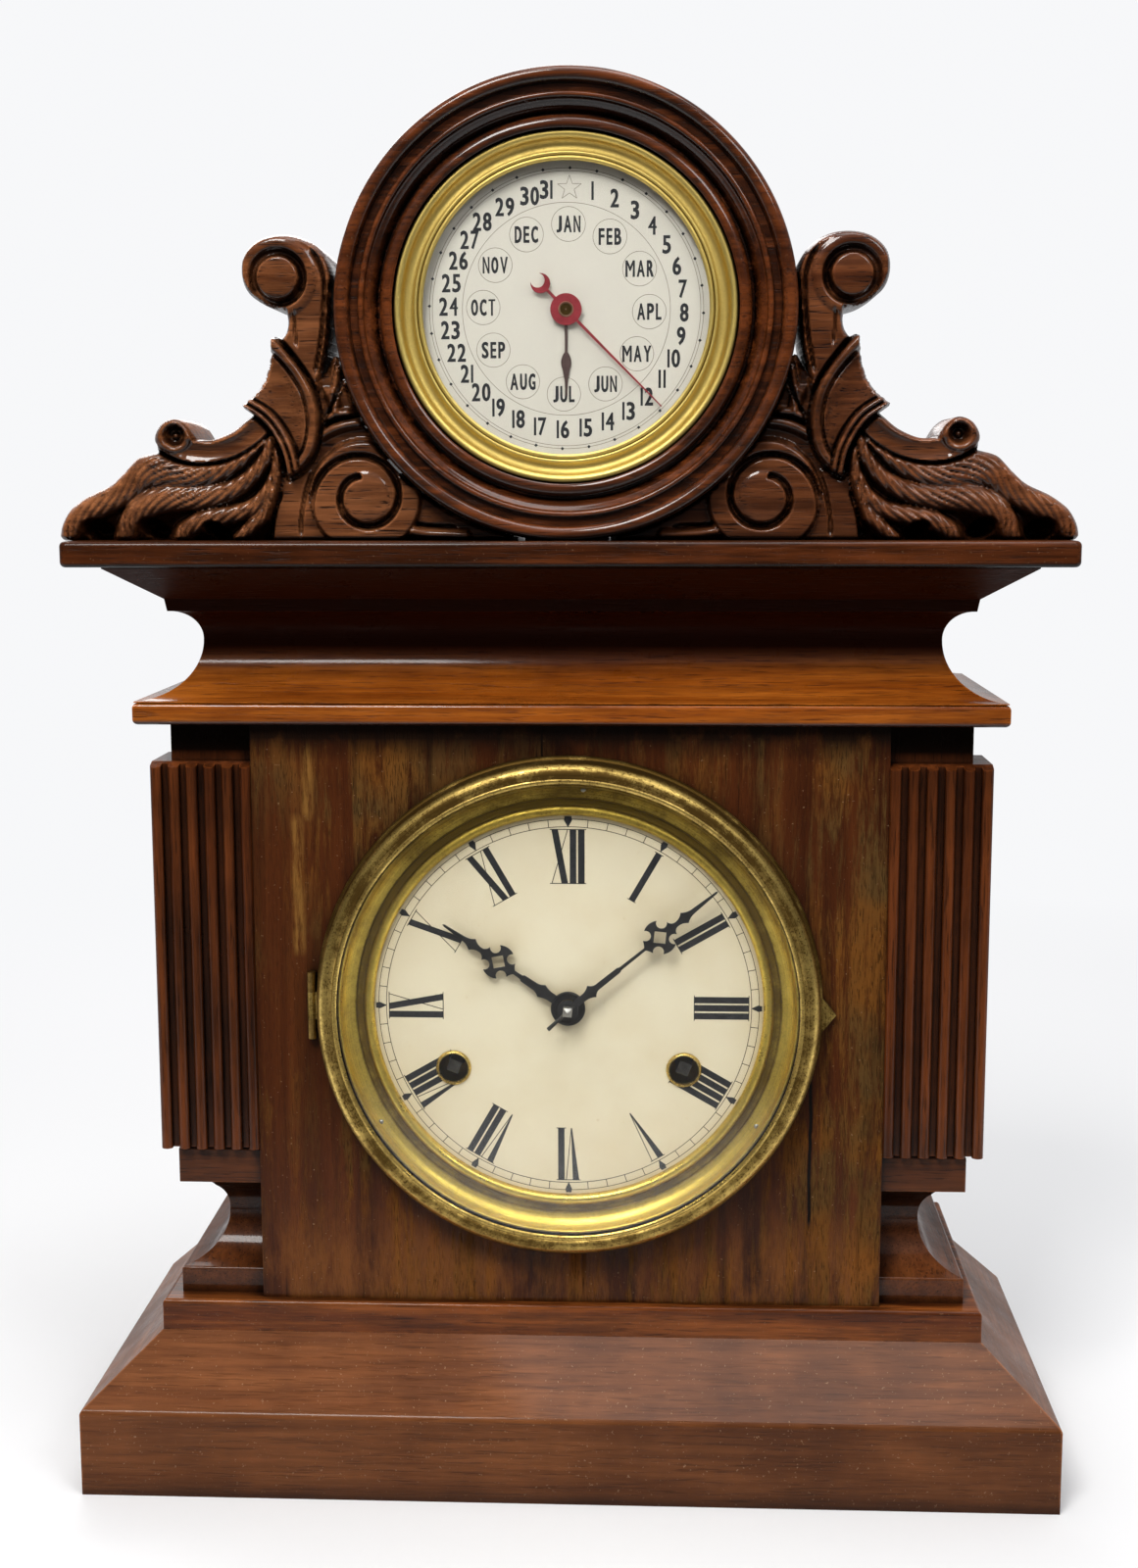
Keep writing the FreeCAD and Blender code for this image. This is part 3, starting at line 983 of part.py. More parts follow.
# ------------------------------------------------------------------- assembly
def all_parts():
    post = pilaster()
    side = side_board()
    ear = carved_ear()
    second_direction = direction(WIND_RIGHT, SECOND_ARBOR)
    return {
        "plinth_front_moulding": plinth_front(),
        "plinth_side_mouldings": plinth_sides(),
        "base_board": base_board(),
        "foot_mouldings": foot_mouldings(),
        "pilaster_bases": pilaster_bases(),
        "pilaster_right": post,
        "pilaster_left": mirrored(post),
        "side_board_right": side,
        "side_board_left": mirrored(side),
        "front_panel": front_panel(),
        "cornice_bed_board": bed_board(),
        "cornice_front_moulding": cornice_front(),
        "cornice_side_mouldings": cornice_sides(),
        "top_board": top_board(),
        "calendar_ring": calendar_ring(),
        "carved_ear_right": ear,
        "carved_ear_left": left_ear(ear),
        "back_frame": back_frame(),
        "back_hinge_plates": back_hinge_plates(),
        "back_door": back_door(),
        "back_hinge_leaves": back_hinge_leaves(),
        "turn_button": turn_button(),
        "dial_plate": dial_plate(),
        "dial_pan": dial_pan(),
        "winding_grommets": winding_grommets(),
        "dial_hinge_plate": dial_hinge_plate(),
        "dial_bezel": bezel_with_knuckle(),
        "dial_glass": dial_glass(),
        "minute_hand": minute_hand(),
        "centre_arbor": centre_arbor(),
        "hour_hand": hour_hand(),
        "hour_wheel": hour_wheel(),
        "minute_wheel": minute_wheel(),
        "movement_front_plate": movement_front_plate(),
        "movement_back_plate": movement_back_plate(),
        "movement_pillars": movement_pillars(),
        "mainsprings": mainsprings(),
        "great_wheel_right": great_wheel(WIND_RIGHT, second_direction),
        "great_wheel_left": great_wheel(WIND_LEFT, 0.0),
        "winding_arbor_right": winding_arbor(WIND_RIGHT),
        "winding_arbor_left": winding_arbor(WIND_LEFT),
        "second_wheel": second_wheel(),
        "escape_wheel": escape_wheel(),
        "verge": verge(),
        "suspension_cock": suspension_cock(),
        "pendulum_rod": pendulum_rod(),
        "pendulum_bob": pendulum_bob(),
        "strike_hammer": strike_hammer(),
        "gong": gong(),
        "calendar_bezel": calendar_bezel(),
        "calendar_glass": calendar_glass(),
        "calendar_dial": calendar_dial(),
        "calendar_back_plate": calendar_back_plate(),
        "date_wheel": date_wheel(),
        "date_hand": date_hand(),
        "calendar_idler": calendar_idler(),
        "month_wheel": month_wheel(),
        "month_hand": month_hand(),
        "calendar_lever": calendar_lever(),
        "drive_wire": drive_wire(),
    }


def main():
    os.makedirs("parts", exist_ok=True)
    for name, shape in all_parts().items():
        if not shape.isValid():
            print("not valid:", name)
        solids = len(shape.Solids)
        print(f"{name}: {solids} solid(s), {shape.Volume / 1000:.2f} cm3")
        shape.exportStep(f"parts/{name}.step")


main()
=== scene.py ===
# %% [markdown]
# # A carved mantel clock with a calendar
# The construction of this clock is a fixed frame: every board, wheel and hand is already there, at its
# real size and place. The lessons below give each piece the finish of the real thing, and model again
# the pieces whose beauty lies in their surface: the carved ears, the turned ring, the spun brass and
# the printing on both dials.

# %% Load the frame
import functools
import json
import math

import bmesh
import bpy
import numpy as np
from mathutils import Matrix, Vector


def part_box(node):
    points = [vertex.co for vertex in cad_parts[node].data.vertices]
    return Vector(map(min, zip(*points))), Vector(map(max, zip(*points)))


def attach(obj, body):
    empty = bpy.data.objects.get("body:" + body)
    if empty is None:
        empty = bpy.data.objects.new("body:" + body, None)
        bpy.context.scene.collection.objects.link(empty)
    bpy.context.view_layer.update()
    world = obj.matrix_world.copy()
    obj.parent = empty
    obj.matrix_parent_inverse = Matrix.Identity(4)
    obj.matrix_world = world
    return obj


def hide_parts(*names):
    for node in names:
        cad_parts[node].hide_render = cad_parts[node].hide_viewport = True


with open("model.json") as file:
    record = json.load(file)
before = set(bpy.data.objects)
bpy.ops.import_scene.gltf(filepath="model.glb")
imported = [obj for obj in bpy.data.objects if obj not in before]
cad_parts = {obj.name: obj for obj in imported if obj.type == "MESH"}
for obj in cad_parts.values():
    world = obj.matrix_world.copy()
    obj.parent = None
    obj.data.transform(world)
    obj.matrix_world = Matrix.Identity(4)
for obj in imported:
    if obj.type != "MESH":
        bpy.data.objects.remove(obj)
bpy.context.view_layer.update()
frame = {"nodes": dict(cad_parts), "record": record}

MM = 0.001

# %% [markdown]
# ## The picture: floor, light and camera
# A dark, glossy wooden object is best shown on a pale floor with a large soft lamp high in front: it
# lights every slope that looks up and leaves the hollows that look down in shadow, so the mouldings
# read. Behind and beside the clock stands a white backdrop, and where the viewer stands the room is
# dim. Metal and varnish mirror both, which is what gives them their contrast.

# %% Floor and world
scene = bpy.context.scene
scene.view_settings.view_transform = "Standard"

PALE = (0.93, 0.935, 0.95, 1.0)
FLOOR_HALF = 4.0


def feed(node, inputs):
    """Links an input that is given an output, and sets one that is given anything else."""
    for name, value in inputs.items():
        value = getattr(value, "socket", value)
        if isinstance(value, bpy.types.NodeSocket):
            node.id_data.links.new(value, node.inputs[name])
        else:
            node.inputs[name].default_value = value


def put(tree, kind, inputs=None, **settings):
    """Adds a shader node."""
    node = tree.nodes.new("ShaderNode" + kind)
    for name, value in settings.items():
        setattr(node, name, value)
    feed(node, inputs or {})
    return node


class Value:
    """A shader output that is added, multiplied and compared as a number is."""

    def __init__(self, socket):
        self.socket = socket

    def maths(self, operation, first, second=0.0):
        return Value(put(self.socket.id_data, "Math", {0: first, 1: second}, operation=operation).outputs[0])

    def __add__(self, other):
        return self.maths("ADD", self, other)

    def __sub__(self, other):
        return self.maths("SUBTRACT", self, other)

    def __rsub__(self, other):
        return self.maths("SUBTRACT", other, self)

    def __mul__(self, other):
        return self.maths("MULTIPLY", self, other)

    def __abs__(self):
        return self.maths("ABSOLUTE", self)

    def root(self):
        return self.maths("SQRT", self)

    def highest(self, other):
        return self.maths("MAXIMUM", self, other)

    def lowest(self, other):
        return self.maths("MINIMUM", self, other)

    def spread(self, low, high, to_low=0.0, to_high=1.0):
        """Maps low..high to to_low..to_high, and clamps."""
        return outputs(self.socket.id_data, "MapRange", {"Value": self, "From Min": low, "From Max": high,
                                                         "To Min": to_low, "To Max": to_high})["Result"]


def outputs(tree, kind, inputs=None, **settings):
    """Adds a node and gives its outputs, by name, as values."""
    return {socket.name: Value(socket) for socket in put(tree, kind, inputs, **settings).outputs}


def axes(tree, vector):
    """The three parts of a vector."""
    return outputs(tree, "SeparateXYZ", {"Vector": vector})


def mixed(tree, share, first, second):
    """Two shaders mixed: all of the first at 0 and of the second at 1."""
    return put(tree, "MixShader", {0: share, 1: first.outputs[0], 2: second.outputs[0]})


def seen_directly(tree):
    """1 for the viewer's rays, also through glass, and 0 once they have left another surface."""
    path = outputs(tree, "LightPath")
    through = path["Is Transmission Ray"] - (path["Diffuse Depth"] + path["Glossy Depth"])
    return path["Is Camera Ray"].highest(through.highest(0.0))


world = bpy.data.worlds.new("studio")
scene.world = world
world.use_nodes = True
sky = world.node_tree
sky.nodes.clear()
DIM_ROOM, CEILING_LIGHT, BACKDROP_LIGHT = 0.05, 0.42, 0.55
towards = axes(sky, put(sky, "TexCoord").outputs["Generated"])
from_above = towards["Z"].spread(0.15, 0.80, DIM_ROOM, CEILING_LIGHT)
from_behind = towards["Y"].spread(-0.15, 0.45, 0.0, BACKDROP_LIGHT)
dim = put(sky, "Background", {"Color": PALE, "Strength": from_above.highest(from_behind)})
bright = put(sky, "Background", {"Color": PALE, "Strength": 1.0})
put(sky, "OutputWorld", {"Surface": mixed(sky, seen_directly(sky), dim, bright).outputs[0]})

bm = bmesh.new()
bmesh.ops.create_grid(bm, x_segments=1, y_segments=1, size=FLOOR_HALF)
floor_mesh = bpy.data.meshes.new("floor")
bm.to_mesh(floor_mesh)
bm.free()
floor = bpy.data.objects.new("floor", floor_mesh)
scene.collection.objects.link(floor)

# %% Floor finish
pale_floor = bpy.data.materials.new("pale_floor")
pale_floor.use_nodes = True
ground = pale_floor.node_tree
ground.nodes.clear()
FLOOR_PAPER = (0.92, 0.92, 0.93, 1.0)
FLOOR_BOUNCE = (0.18, 0.17, 0.16, 1.0)
spot = axes(ground, put(ground, "TexCoord").outputs["Object"])
far = (spot["X"] * spot["X"] + spot["Y"] * spot["Y"]).root()
paper_lit = put(ground, "BsdfDiffuse", {"Color": FLOOR_PAPER})
glow = put(ground, "Emission", {"Color": PALE, "Strength": 1.0})
bounce = put(ground, "BsdfDiffuse", {"Color": FLOOR_BOUNCE})
sweep = mixed(ground, far.spread(0.30, 1.10), paper_lit, glow)
mirrored_floor = mixed(ground, spot["Y"].spread(-0.50, -0.28), bounce, paper_lit)
light_side = mixed(ground, outputs(ground, "LightPath")["Is Glossy Ray"], bounce, mirrored_floor)
floor_choice = mixed(ground, seen_directly(ground), light_side, sweep)
put(ground, "OutputMaterial", {"Surface": floor_choice.outputs[0]})
floor_mesh.materials.append(pale_floor)

# %% Lamps
def softbox(name, place, aim, size, watts, tint=(1.0, 1.0, 1.0)):
    """A square area lamp at place, turned to face aim."""
    lamp = bpy.data.lights.new(name, "AREA")
    lamp.size = size
    lamp.energy = watts
    lamp.color = tint
    holder = bpy.data.objects.new(name, lamp)
    holder.location = place
    holder.rotation_euler = (Vector(aim) - Vector(place)).to_track_quat("-Z", "Y").to_euler()
    scene.collection.objects.link(holder)


MIDDLE = (0.0, 0.0, 0.25)
softbox("key", (-0.40, -1.10, 1.50), MIDDLE, 0.5, 16.5, (1.0, 0.985, 0.96))
softbox("fill", (0.85, -1.15, 1.30), MIDDLE, 0.5, 5.8, (0.98, 0.99, 1.0))
softbox("top", (0.15, -0.25, 1.5), MIDDLE, 0.7, 6.5)
softbox("back", (-0.5, 1.5, 1.2), MIDDLE, 1.0, 10.0)

# %% Camera
CAMERA_PLACE = Vector((0.0335, -0.7635, 0.368))
CAMERA_YAW, CAMERA_PITCH, CAMERA_ROLL = 0.0459, -0.1474, -0.002
FOCAL_MM = 46.68

lens = bpy.data.cameras.new("camera")
lens.lens = FOCAL_MM
lens.sensor_width = 36.0
lens.clip_start = 0.01
camera = bpy.data.objects.new("camera", lens)
camera.location = CAMERA_PLACE
forward = Vector((-math.sin(CAMERA_YAW) * math.cos(CAMERA_PITCH),
                  math.cos(CAMERA_YAW) * math.cos(CAMERA_PITCH), math.sin(CAMERA_PITCH)))
camera.rotation_euler = forward.to_track_quat("-Z", "Y").to_euler()
camera.rotation_euler.rotate_axis("Z", CAMERA_ROLL)
scene.collection.objects.link(camera)
scene.camera = camera
print("camera", [round(v, 3) for v in CAMERA_PLACE])

# %% [markdown]
# ## Finishes
# A finished piece of old furniture is never one colour. The stain is lighter where it is rubbed, and
# the open pores show as short dark dashes along the grain. Shade is painted into the colour as well:
# corners, creases and faces that look down are darkened, and sharp edges, rubbed as they are, also get a
# painted highlight. Each finish below is built from a few layers of noise that are stretched along the grain.

# %% Tools for finishes
def colour(red, green, blue):
    """A screen colour of 0 to 255 as the linear colour that shaders use."""
    def linear(value):
        value /= 255.0
        return value / 12.92 if value <= 0.04045 else ((value + 0.055) / 1.055) ** 2.4
    return (linear(red), linear(green), linear(blue), 1.0)


def shaded(tone, share):
    return tuple(share * v for v in tone[:3]) + (1.0,)


class Finish:
    """A material in the making: a colour to which layers are added, and the patterns for them."""

    def __init__(self, name, constants):
        self.material = bpy.data.materials.new(name)
        self.material.use_nodes = True
        self.tree = self.material.node_tree
        self.shader = self.tree.nodes["Principled BSDF"]
        feed(self.shader, constants)

    @functools.cached_property
    def plain(self):
        """Object coordinates as they are."""
        return self.stretched((1.0, 1.0, 1.0))

    def stretched(self, stretch):
        """Object coordinates, drawn out along the axis whose number is small."""
        place = put(self.tree, "TexCoord").outputs["Object"]
        return put(self.tree, "Mapping", {"Vector": place, "Scale": stretch}).outputs[0]

    def noise(self, vector, scale, detail=4.0, roughness=0.55, distortion=0.0):
        return outputs(self.tree, "TexNoise", {"Vector": vector, "Scale": scale, "Detail": detail,
                                               "Roughness": roughness, "Distortion": distortion})["Fac"]

    def blend(self, share, first, second):
        return put(self.tree, "Mix", {0: share, 6: first, 7: second}, data_type="RGBA").outputs[2]

    def start(self, share, first, second):
        """The first layer: one tone that turns into another."""
        self.body = self.blend(share, first, second)

    def lay(self, share, tone):
        """A tone over the layers so far, where share is 1."""
        self.body = self.blend(share, self.body, tone)

    def leave(self, share, tone):
        """A tone everywhere except where share is 1."""
        self.body = self.blend(share, tone, self.body)

    def corners(self, reach, low=0.35, high=0.95):
        """0 deep in a corner or groove, 1 on open surface."""
        return outputs(self.tree, "AmbientOcclusion", {"Distance": reach}, samples=6)["AO"].spread(low, high)

    def worn_edges(self, radius):
        """1 on a sharp edge and 0 on a flat: a rounded normal leaves the true one there."""
        soft = put(self.tree, "Bevel", {"Radius": radius}, samples=4).outputs[0]
        true = put(self.tree, "NewGeometry").outputs["True Normal"]
        agree = outputs(self.tree, "VectorMath", {0: soft, 1: true}, operation="DOT_PRODUCT")["Value"]
        return (1.0 - agree).spread(0.01, 0.12)

    def made(self, inputs, relief=None, strength=0.0, distance=0.0):
        """Gives the shader its colour, its other inputs and its fine relief."""
        feed(self.shader, {"Base Color": self.body, **inputs})
        if relief:
            bump = put(self.tree, "Bump", {"Height": relief, "Strength": strength, "Distance": distance})
            feed(self.shader, {"Normal": bump.outputs[0]})
        return self.material


# %% [markdown]
# ### Wood
# One function makes every wood of the case. What changes from piece to piece is the direction of the
# grain, the three stain colours, how much of the polish is left, how rubbed the surface is, and how
# much shade is painted into it. Faces that look down are darkened as painted shade, and on the cornice
# and the posts the wood above a given height turns dark as a painted shadow.

# %% Wood
GRAINS = {"x": (0.05, 1.0, 1.0), "y": (1.0, 0.05, 1.0), "z": (1.0, 1.0, 0.05)}


def wood(name, grain, dark, middle, light, polish=0.35, roughness=0.36, crease_grime_and_shade=0.007, rubbed=0.35,
         pores=0.6, under=0.15, specks=0.0, hollow=0.022, mottled=0.0, painted_shade_from=None, crest=0.55):
    """Shade under an overhang is painted from a height, given as (lowest z, highest z, share): between them the
    painted shadow begins.
    """
    f = Finish(name, {"Specular IOR Level": 0.06, "Coat Weight": polish, "Coat Roughness": 0.10})
    along = f.stretched(GRAINS[grain])
    open_pores = f.noise(along, 1500.0, 2.0, 0.5).spread(0.33, 0.42, 1.0, 0.0)
    edge = f.worn_edges(0.0009) * f.noise(f.plain, 260.0).spread(0.35, 0.6)
    f.start(f.noise(along, 55.0, 5.0, 0.62, 1.1).spread(0.36, 0.64), middle, light)
    f.lay(f.noise(f.plain, 15.0, 4.0, 0.6).spread(0.42, 0.66) * 0.62, dark)
    f.lay(f.noise(along, 380.0, 6.0, 0.7).spread(0.38, 0.66) * 0.55, dark)
    f.lay(open_pores * pores, shaded(dark, 0.3))
    f.lay(f.noise(along, 120.0, 6.0, 0.75).spread(0.50, 0.72) * rubbed, light)
    # painted highlight with edge wear: sharp edges and crests are lightened beyond the light tone
    f.lay(edge * crest, shaded(light, 1.35))
    if specks:
        f.lay(f.noise(f.plain, 850.0, 3.0, 0.6).spread(0.66, 0.71) * specks, colour(176, 138, 104))
    # painted shade: the colour darkens in hollows, within the reach hollow
    f.leave(f.corners(hollow, 0.15, 0.85), shaded(dark, 0.35))
    # painted shade with some grime: the colour turns almost black deep in creases and grooves
    f.leave(f.corners(crease_grime_and_shade, 0.30, 0.90), shaded(dark, 0.10))
    if mottled:
        cloudy = f.noise(along, 210.0, 5.0, 0.75)
        f.lay(cloudy.spread(0.50, 0.36, 0.0, mottled), shaded(dark, 0.8))
        f.lay(cloudy.spread(0.52, 0.66, 0.0, mottled), shaded(light, 1.25))
    # painted shadow: above a given height the wood turns dark, as the shade under an overhang
    if painted_shade_from:
        low, high, share = painted_shade_from
        height = axes(f.tree, f.plain)["Z"]
        f.lay(height.spread(low * MM, high * MM), shaded(dark, share))
        feed(f.shader, {"Coat Weight": height.spread(low * MM, high * MM, polish, 0.0)})
    facing = axes(f.tree, put(f.tree, "NewGeometry").outputs["Normal"])["Z"]
    # painted shade: faces that look down are darkened
    f.leave(facing.spread(-0.55, -0.08, under, 1.0), shaded(dark, 0.35))
    gloss = f.noise(f.plain, 42.0, 5.0, 0.7).spread(0.35, 0.65, roughness - 0.08, roughness + 0.16)
    return f.made({"Roughness": gloss}, f.noise(f.plain, 160.0, 5.0) * 0.7 - open_pores, 0.45, 0.0003)


WALNUT = (colour(44, 20, 8), colour(100, 51, 23), colour(134, 76, 38))
PLINTH = (colour(70, 36, 16), colour(130, 75, 39), colour(152, 92, 51))
MAHOGANY = (colour(26, 11, 4), colour(78, 37, 15), colour(110, 56, 26))
POST = (colour(18, 7, 2), colour(98, 46, 17), colour(138, 72, 33))
DRUM = (colour(24, 10, 4), colour(84, 39, 16), colour(136, 70, 32))
HONEY = (colour(98, 40, 8), colour(174, 88, 21), colour(214, 122, 40))
EDGE = (colour(46, 18, 6), colour(124, 60, 22), colour(168, 94, 40))
CARVING = (colour(48, 22, 9), colour(126, 69, 36), colour(172, 108, 66))
# painted shade: a darker copy of the carving's tones, for the right ear, which the light reaches less
CARVING_IN_SHADE = (colour(38, 16, 6), colour(100, 51, 25), colour(142, 84, 49))
DEAL = (colour(70, 50, 32), colour(112, 84, 54), colour(138, 108, 74))

walnut = {g: wood("walnut_" + g, g, *WALNUT) for g in "xyz"}
plinth_wood = {g: wood("plinth_walnut_" + g, g, *PLINTH, polish=0.25, roughness=0.42, rubbed=0.3, pores=0.3,
                       specks=0.7, crest=0.95) for g in "xy"}
mahogany = wood("mahogany_x", "x", *MAHOGANY, polish=0.3, roughness=0.34, under=0.0, hollow=0.03, rubbed=0.5)
post_wood = wood("reeded_mahogany_z", "z", *POST, polish=0.35, roughness=0.32, under=0.0, hollow=0.009,
                 crease_grime_and_shade=0.0044, rubbed=0.6, painted_shade_from=(268.0, 272.0, 0.9))
top_wood = wood("top_mahogany_x", "x", *MAHOGANY, polish=0.35, roughness=0.34, under=0.0, rubbed=0.5, mottled=0.5,
                specks=0.35)
edge_wood = wood("edge_walnut_x", "x", *EDGE, polish=0.3, roughness=0.38, rubbed=0.5, mottled=0.45, specks=0.3)
ring_wood = wood("ring_mahogany_x", "x", *DRUM, polish=0.8, roughness=0.30,
                 crease_grime_and_shade=0.004, hollow=0.015, rubbed=0.5, mottled=0.4, specks=0.25, crest=0.8)
honey = {g: wood("honey_" + g, g, *HONEY, polish=0.7, roughness=0.30, under=0.0, hollow=0.03,
                 mottled=0.3, painted_shade_from=(299.0, 309.0, 0.22)) for g in "xy"}
carving = wood("carving_x", "x", *CARVING, polish=0.75, roughness=0.32, crease_grime_and_shade=0.0042, pores=0.95, hollow=0.012,
               mottled=0.35, crest=0.9)
# painted shade: the right ear's carving finish is the darker copy
carving_in_shade = wood("dark_carving_x", "x", *CARVING_IN_SHADE, polish=0.75, roughness=0.32, crease_grime_and_shade=0.0042, pores=0.95,
                    hollow=0.012, mottled=0.35, crest=0.8)
deal = wood("back_wood_z", "z", *DEAL, polish=0.0, roughness=0.8)
print("woods:", len(walnut) + len(plinth_wood) + len(honey) + 8)

# %% [markdown]
# The front panel is a thin veneer whose polish has worn away in streaks along the grain, most of all on
# its right side. Bare streaks are dull golden brown with short dark pores, and the rest keeps a red-brown
# polish. Along its top edge, under the bed board, a dark band is dirt and painted shadow, its corners get
# painted shade, and it has one long crack and a few joints. Its finish is a second recipe, because the
# places of the wear are what make it look old.

# %% Worn veneer
def strip(x, z, middle, wide, low, high, soft=0.0004):
    """1 inside an upright strip of the panel, measured in mm from middle in metres."""
    inside = abs(middle - x).spread(wide * MM / 2, wide * MM / 2 + soft, 1.0, 0.0)
    return inside * (z.spread(low * MM - 0.004, low * MM) * z.spread(high * MM, high * MM + 0.004, 1.0, 0.0))


def old_veneer(name):
    f = Finish(name, {"Specular IOR Level": 0.06, "Coat Roughness": 0.14})
    along, short = f.stretched(GRAINS["z"]), f.stretched((1.0, 1.0, 0.10))
    parts = axes(f.tree, f.plain)
    x, z = parts["X"], parts["Z"]
    f.start(f.noise(along, 48.0, 5.0, 0.62, 1.1).spread(0.36, 0.64), colour(56, 25, 11), colour(98, 50, 22))

    patches = f.noise(f.stretched((1.0, 1.0, 0.4)), 26.0, 5.0, 0.65).spread(0.44, 0.60)
    right_side, top_edge = x.spread(0.045, 0.098), z.spread(0.238, 0.262)
    rubbed = patches.highest((right_side * 0.9).highest(top_edge * 0.6))
    streaks = f.noise(f.stretched((1.0, 1.0, 0.09)), 110.0, 9.0, 0.82, 0.3).spread(0.47, 0.57)
    bare = streaks * (rubbed * 0.90 + 0.10)
    grey = f.noise(f.plain, 33.0, 3.0).spread(0.40, 0.60)
    f.lay(bare * 0.72, f.blend(grey, colour(146, 94, 38), colour(112, 86, 46)))
    # lighter in patches towards the foot of the panel
    lighter_foot = f.noise(f.stretched((1.0, 1.0, 0.25)), 75.0, 6.0, 0.7).spread(0.40, 0.58)
    f.lay(z.spread(0.105, 0.080) * lighter_foot * 0.6, colour(150, 92, 42))

    f.lay(f.noise(along, 95.0, 6.0, 0.7).spread(0.55, 0.66) * 0.7, colour(40, 19, 9))
    pores = f.noise(short, 2300.0, 4.0, 0.6).spread(0.38, 0.45, 1.0, 0.0)
    f.lay(pores * (bare * 0.55 + 0.15), colour(22, 11, 6))
    splits = f.noise(f.stretched((1.0, 1.0, 0.03)), 420.0, 2.0).spread(0.22, 0.26, 1.0, 0.0)
    f.lay(splits * 0.8, colour(20, 10, 5))
    f.lay(f.noise(f.plain, 900.0, 3.0, 0.6).spread(0.69, 0.73) * 0.7, colour(176, 140, 104))
    brushed = f.noise(short, 520.0, 6.0, 0.75).spread(0.42, 0.58)
    pale = strip(x, z, -0.0985, 2.0, 200.0, 246.0, 0.002).highest(
        strip(x, z, -0.0945, 1.6, 250.0, 272.0, 0.002))
    f.lay(pale * brushed * 0.8, colour(158, 112, 54))

    wander = (f.noise(f.plain, 60.0, 3.0) - 0.5) * 0.0022
    crack = strip(x, z, wander + 0.0887, 0.8, 98.0, 150.0)
    lines = crack.highest(strip(x, z, -0.0094, 0.3, 269.0, 283.0))
    f.lay(lines, colour(12, 7, 5))
    # dirt and painted shadow: a dark band along the top edge, under the bed board
    top_dirt_and_shadow = z.spread(0.268, 0.277) * f.noise(f.plain, 70.0).spread(0.30, 0.50, 0.45, 0.95)
    f.lay(top_dirt_and_shadow, colour(22, 12, 7))
    # painted shade: near-black in the corners and where the panel meets the mouldings
    f.leave(f.corners(0.012, 0.25, 0.85), colour(12, 7, 4))
    roughness, coat = bare.spread(0.0, 1.0, 0.34, 0.62), bare.spread(0.0, 0.7, 0.16, 0.02)
    return f.made({"Roughness": roughness, "Coat Weight": coat},
                  f.noise(f.plain, 160.0, 5.0) * 0.6 - (pores + (splits + lines)), 0.5, 0.0003)


veneer = old_veneer("panel_veneer_z")
print("veneer nodes:", len(veneer.node_tree.nodes))

# %% [markdown]
# ### Metals
# Brass that has been handled and polished for a century has a bright skin on the high parts and a
# brown skin in the hollows. The brown skin is a mixture, so its colour is blended by the corners and
# by a soft noise, and the roughness goes with it.

# %% Metals
def metal(name, bright_colour, dull_colour, roughness=0.28, patina=0.4, pits=0.35):
    f = Finish(name, {"Metallic": 1.0})
    cloud = f.noise(f.plain, 90.0, 6.0, 0.7).spread(0.40, 0.62)
    specks = f.noise(f.plain, 1100.0, 4.0, 0.65).spread(0.52, 0.66)
    aged = (cloud * patina + specks * pits).lowest(1.0)
    f.start(aged, bright_colour, dull_colour)
    f.leave(f.corners(0.002, 0.25, 0.85), shaded(dull_colour, 0.25))
    return f.made({"Roughness": aged.spread(0.0, 1.0, roughness, roughness + 0.28)},
                  f.noise(f.plain, 500.0), 0.15, 0.0001)


def japan(name, tone, roughness=0.4):
    """Baked or brushed paint on sheet metal."""
    f = Finish(name, {"Specular IOR Level": 0.3})
    wear = f.noise(f.plain, 250.0, 5.0, 0.7).spread(0.35, 0.75)
    f.start(wear, tone, tuple(min(1.0, 1.7 * v + 0.01) for v in tone[:3]) + (1.0,))
    return f.made({"Roughness": wear.spread(0.0, 1.0, roughness, roughness + 0.15)},
                  f.noise(f.plain, 700.0), 0.2, 0.00005)


aged_brass = metal("aged_brass", colour(176, 144, 82), colour(84, 62, 30), 0.30, 0.85)
bright_brass = metal("bright_brass", colour(232, 202, 120), colour(150, 116, 50), 0.20, 0.35)
works_brass = metal("works_brass", colour(206, 172, 96), colour(150, 116, 58), 0.36, 0.25, pits=0.15)
plain_steel = metal("plain_steel", colour(176, 174, 170), colour(104, 98, 92), 0.32, 0.5)
blue_steel = metal("spring_steel", colour(112, 118, 138), colour(58, 58, 70), 0.30, 0.4)
# painted shade: a darker copy of the steel, for the winding arbors that sit deep in their holes
arbor_steel_in_shade = metal("arbor_steel_in_shade", colour(96, 94, 92), colour(40, 38, 36), 0.34, 0.6)
iron = japan("iron", colour(38, 37, 36), 0.5)
# glue colour that is also painted shade, for the wedges under the drum
glue_and_shade = japan("glue_and_shade", colour(46, 24, 12), 0.35)
black_steel = japan("blued_steel", colour(16, 16, 19), 0.42)
red_paint = japan("red_hand_paint", colour(112, 20, 30), 0.5)
nut_bronze = japan("nut_bronze", colour(92, 64, 46), 0.4)
brown_paint = japan("brown_hand_paint", colour(58, 40, 38), 0.5)

# %% [markdown]
# ### Paper and glass
# The time dial is ivory paper that has darkened a little towards the rim, and under the bezel its colour
# is darkened further as painted shade. The glass lets the lamps through, so the paper behind it stays as
# bright as it is written.

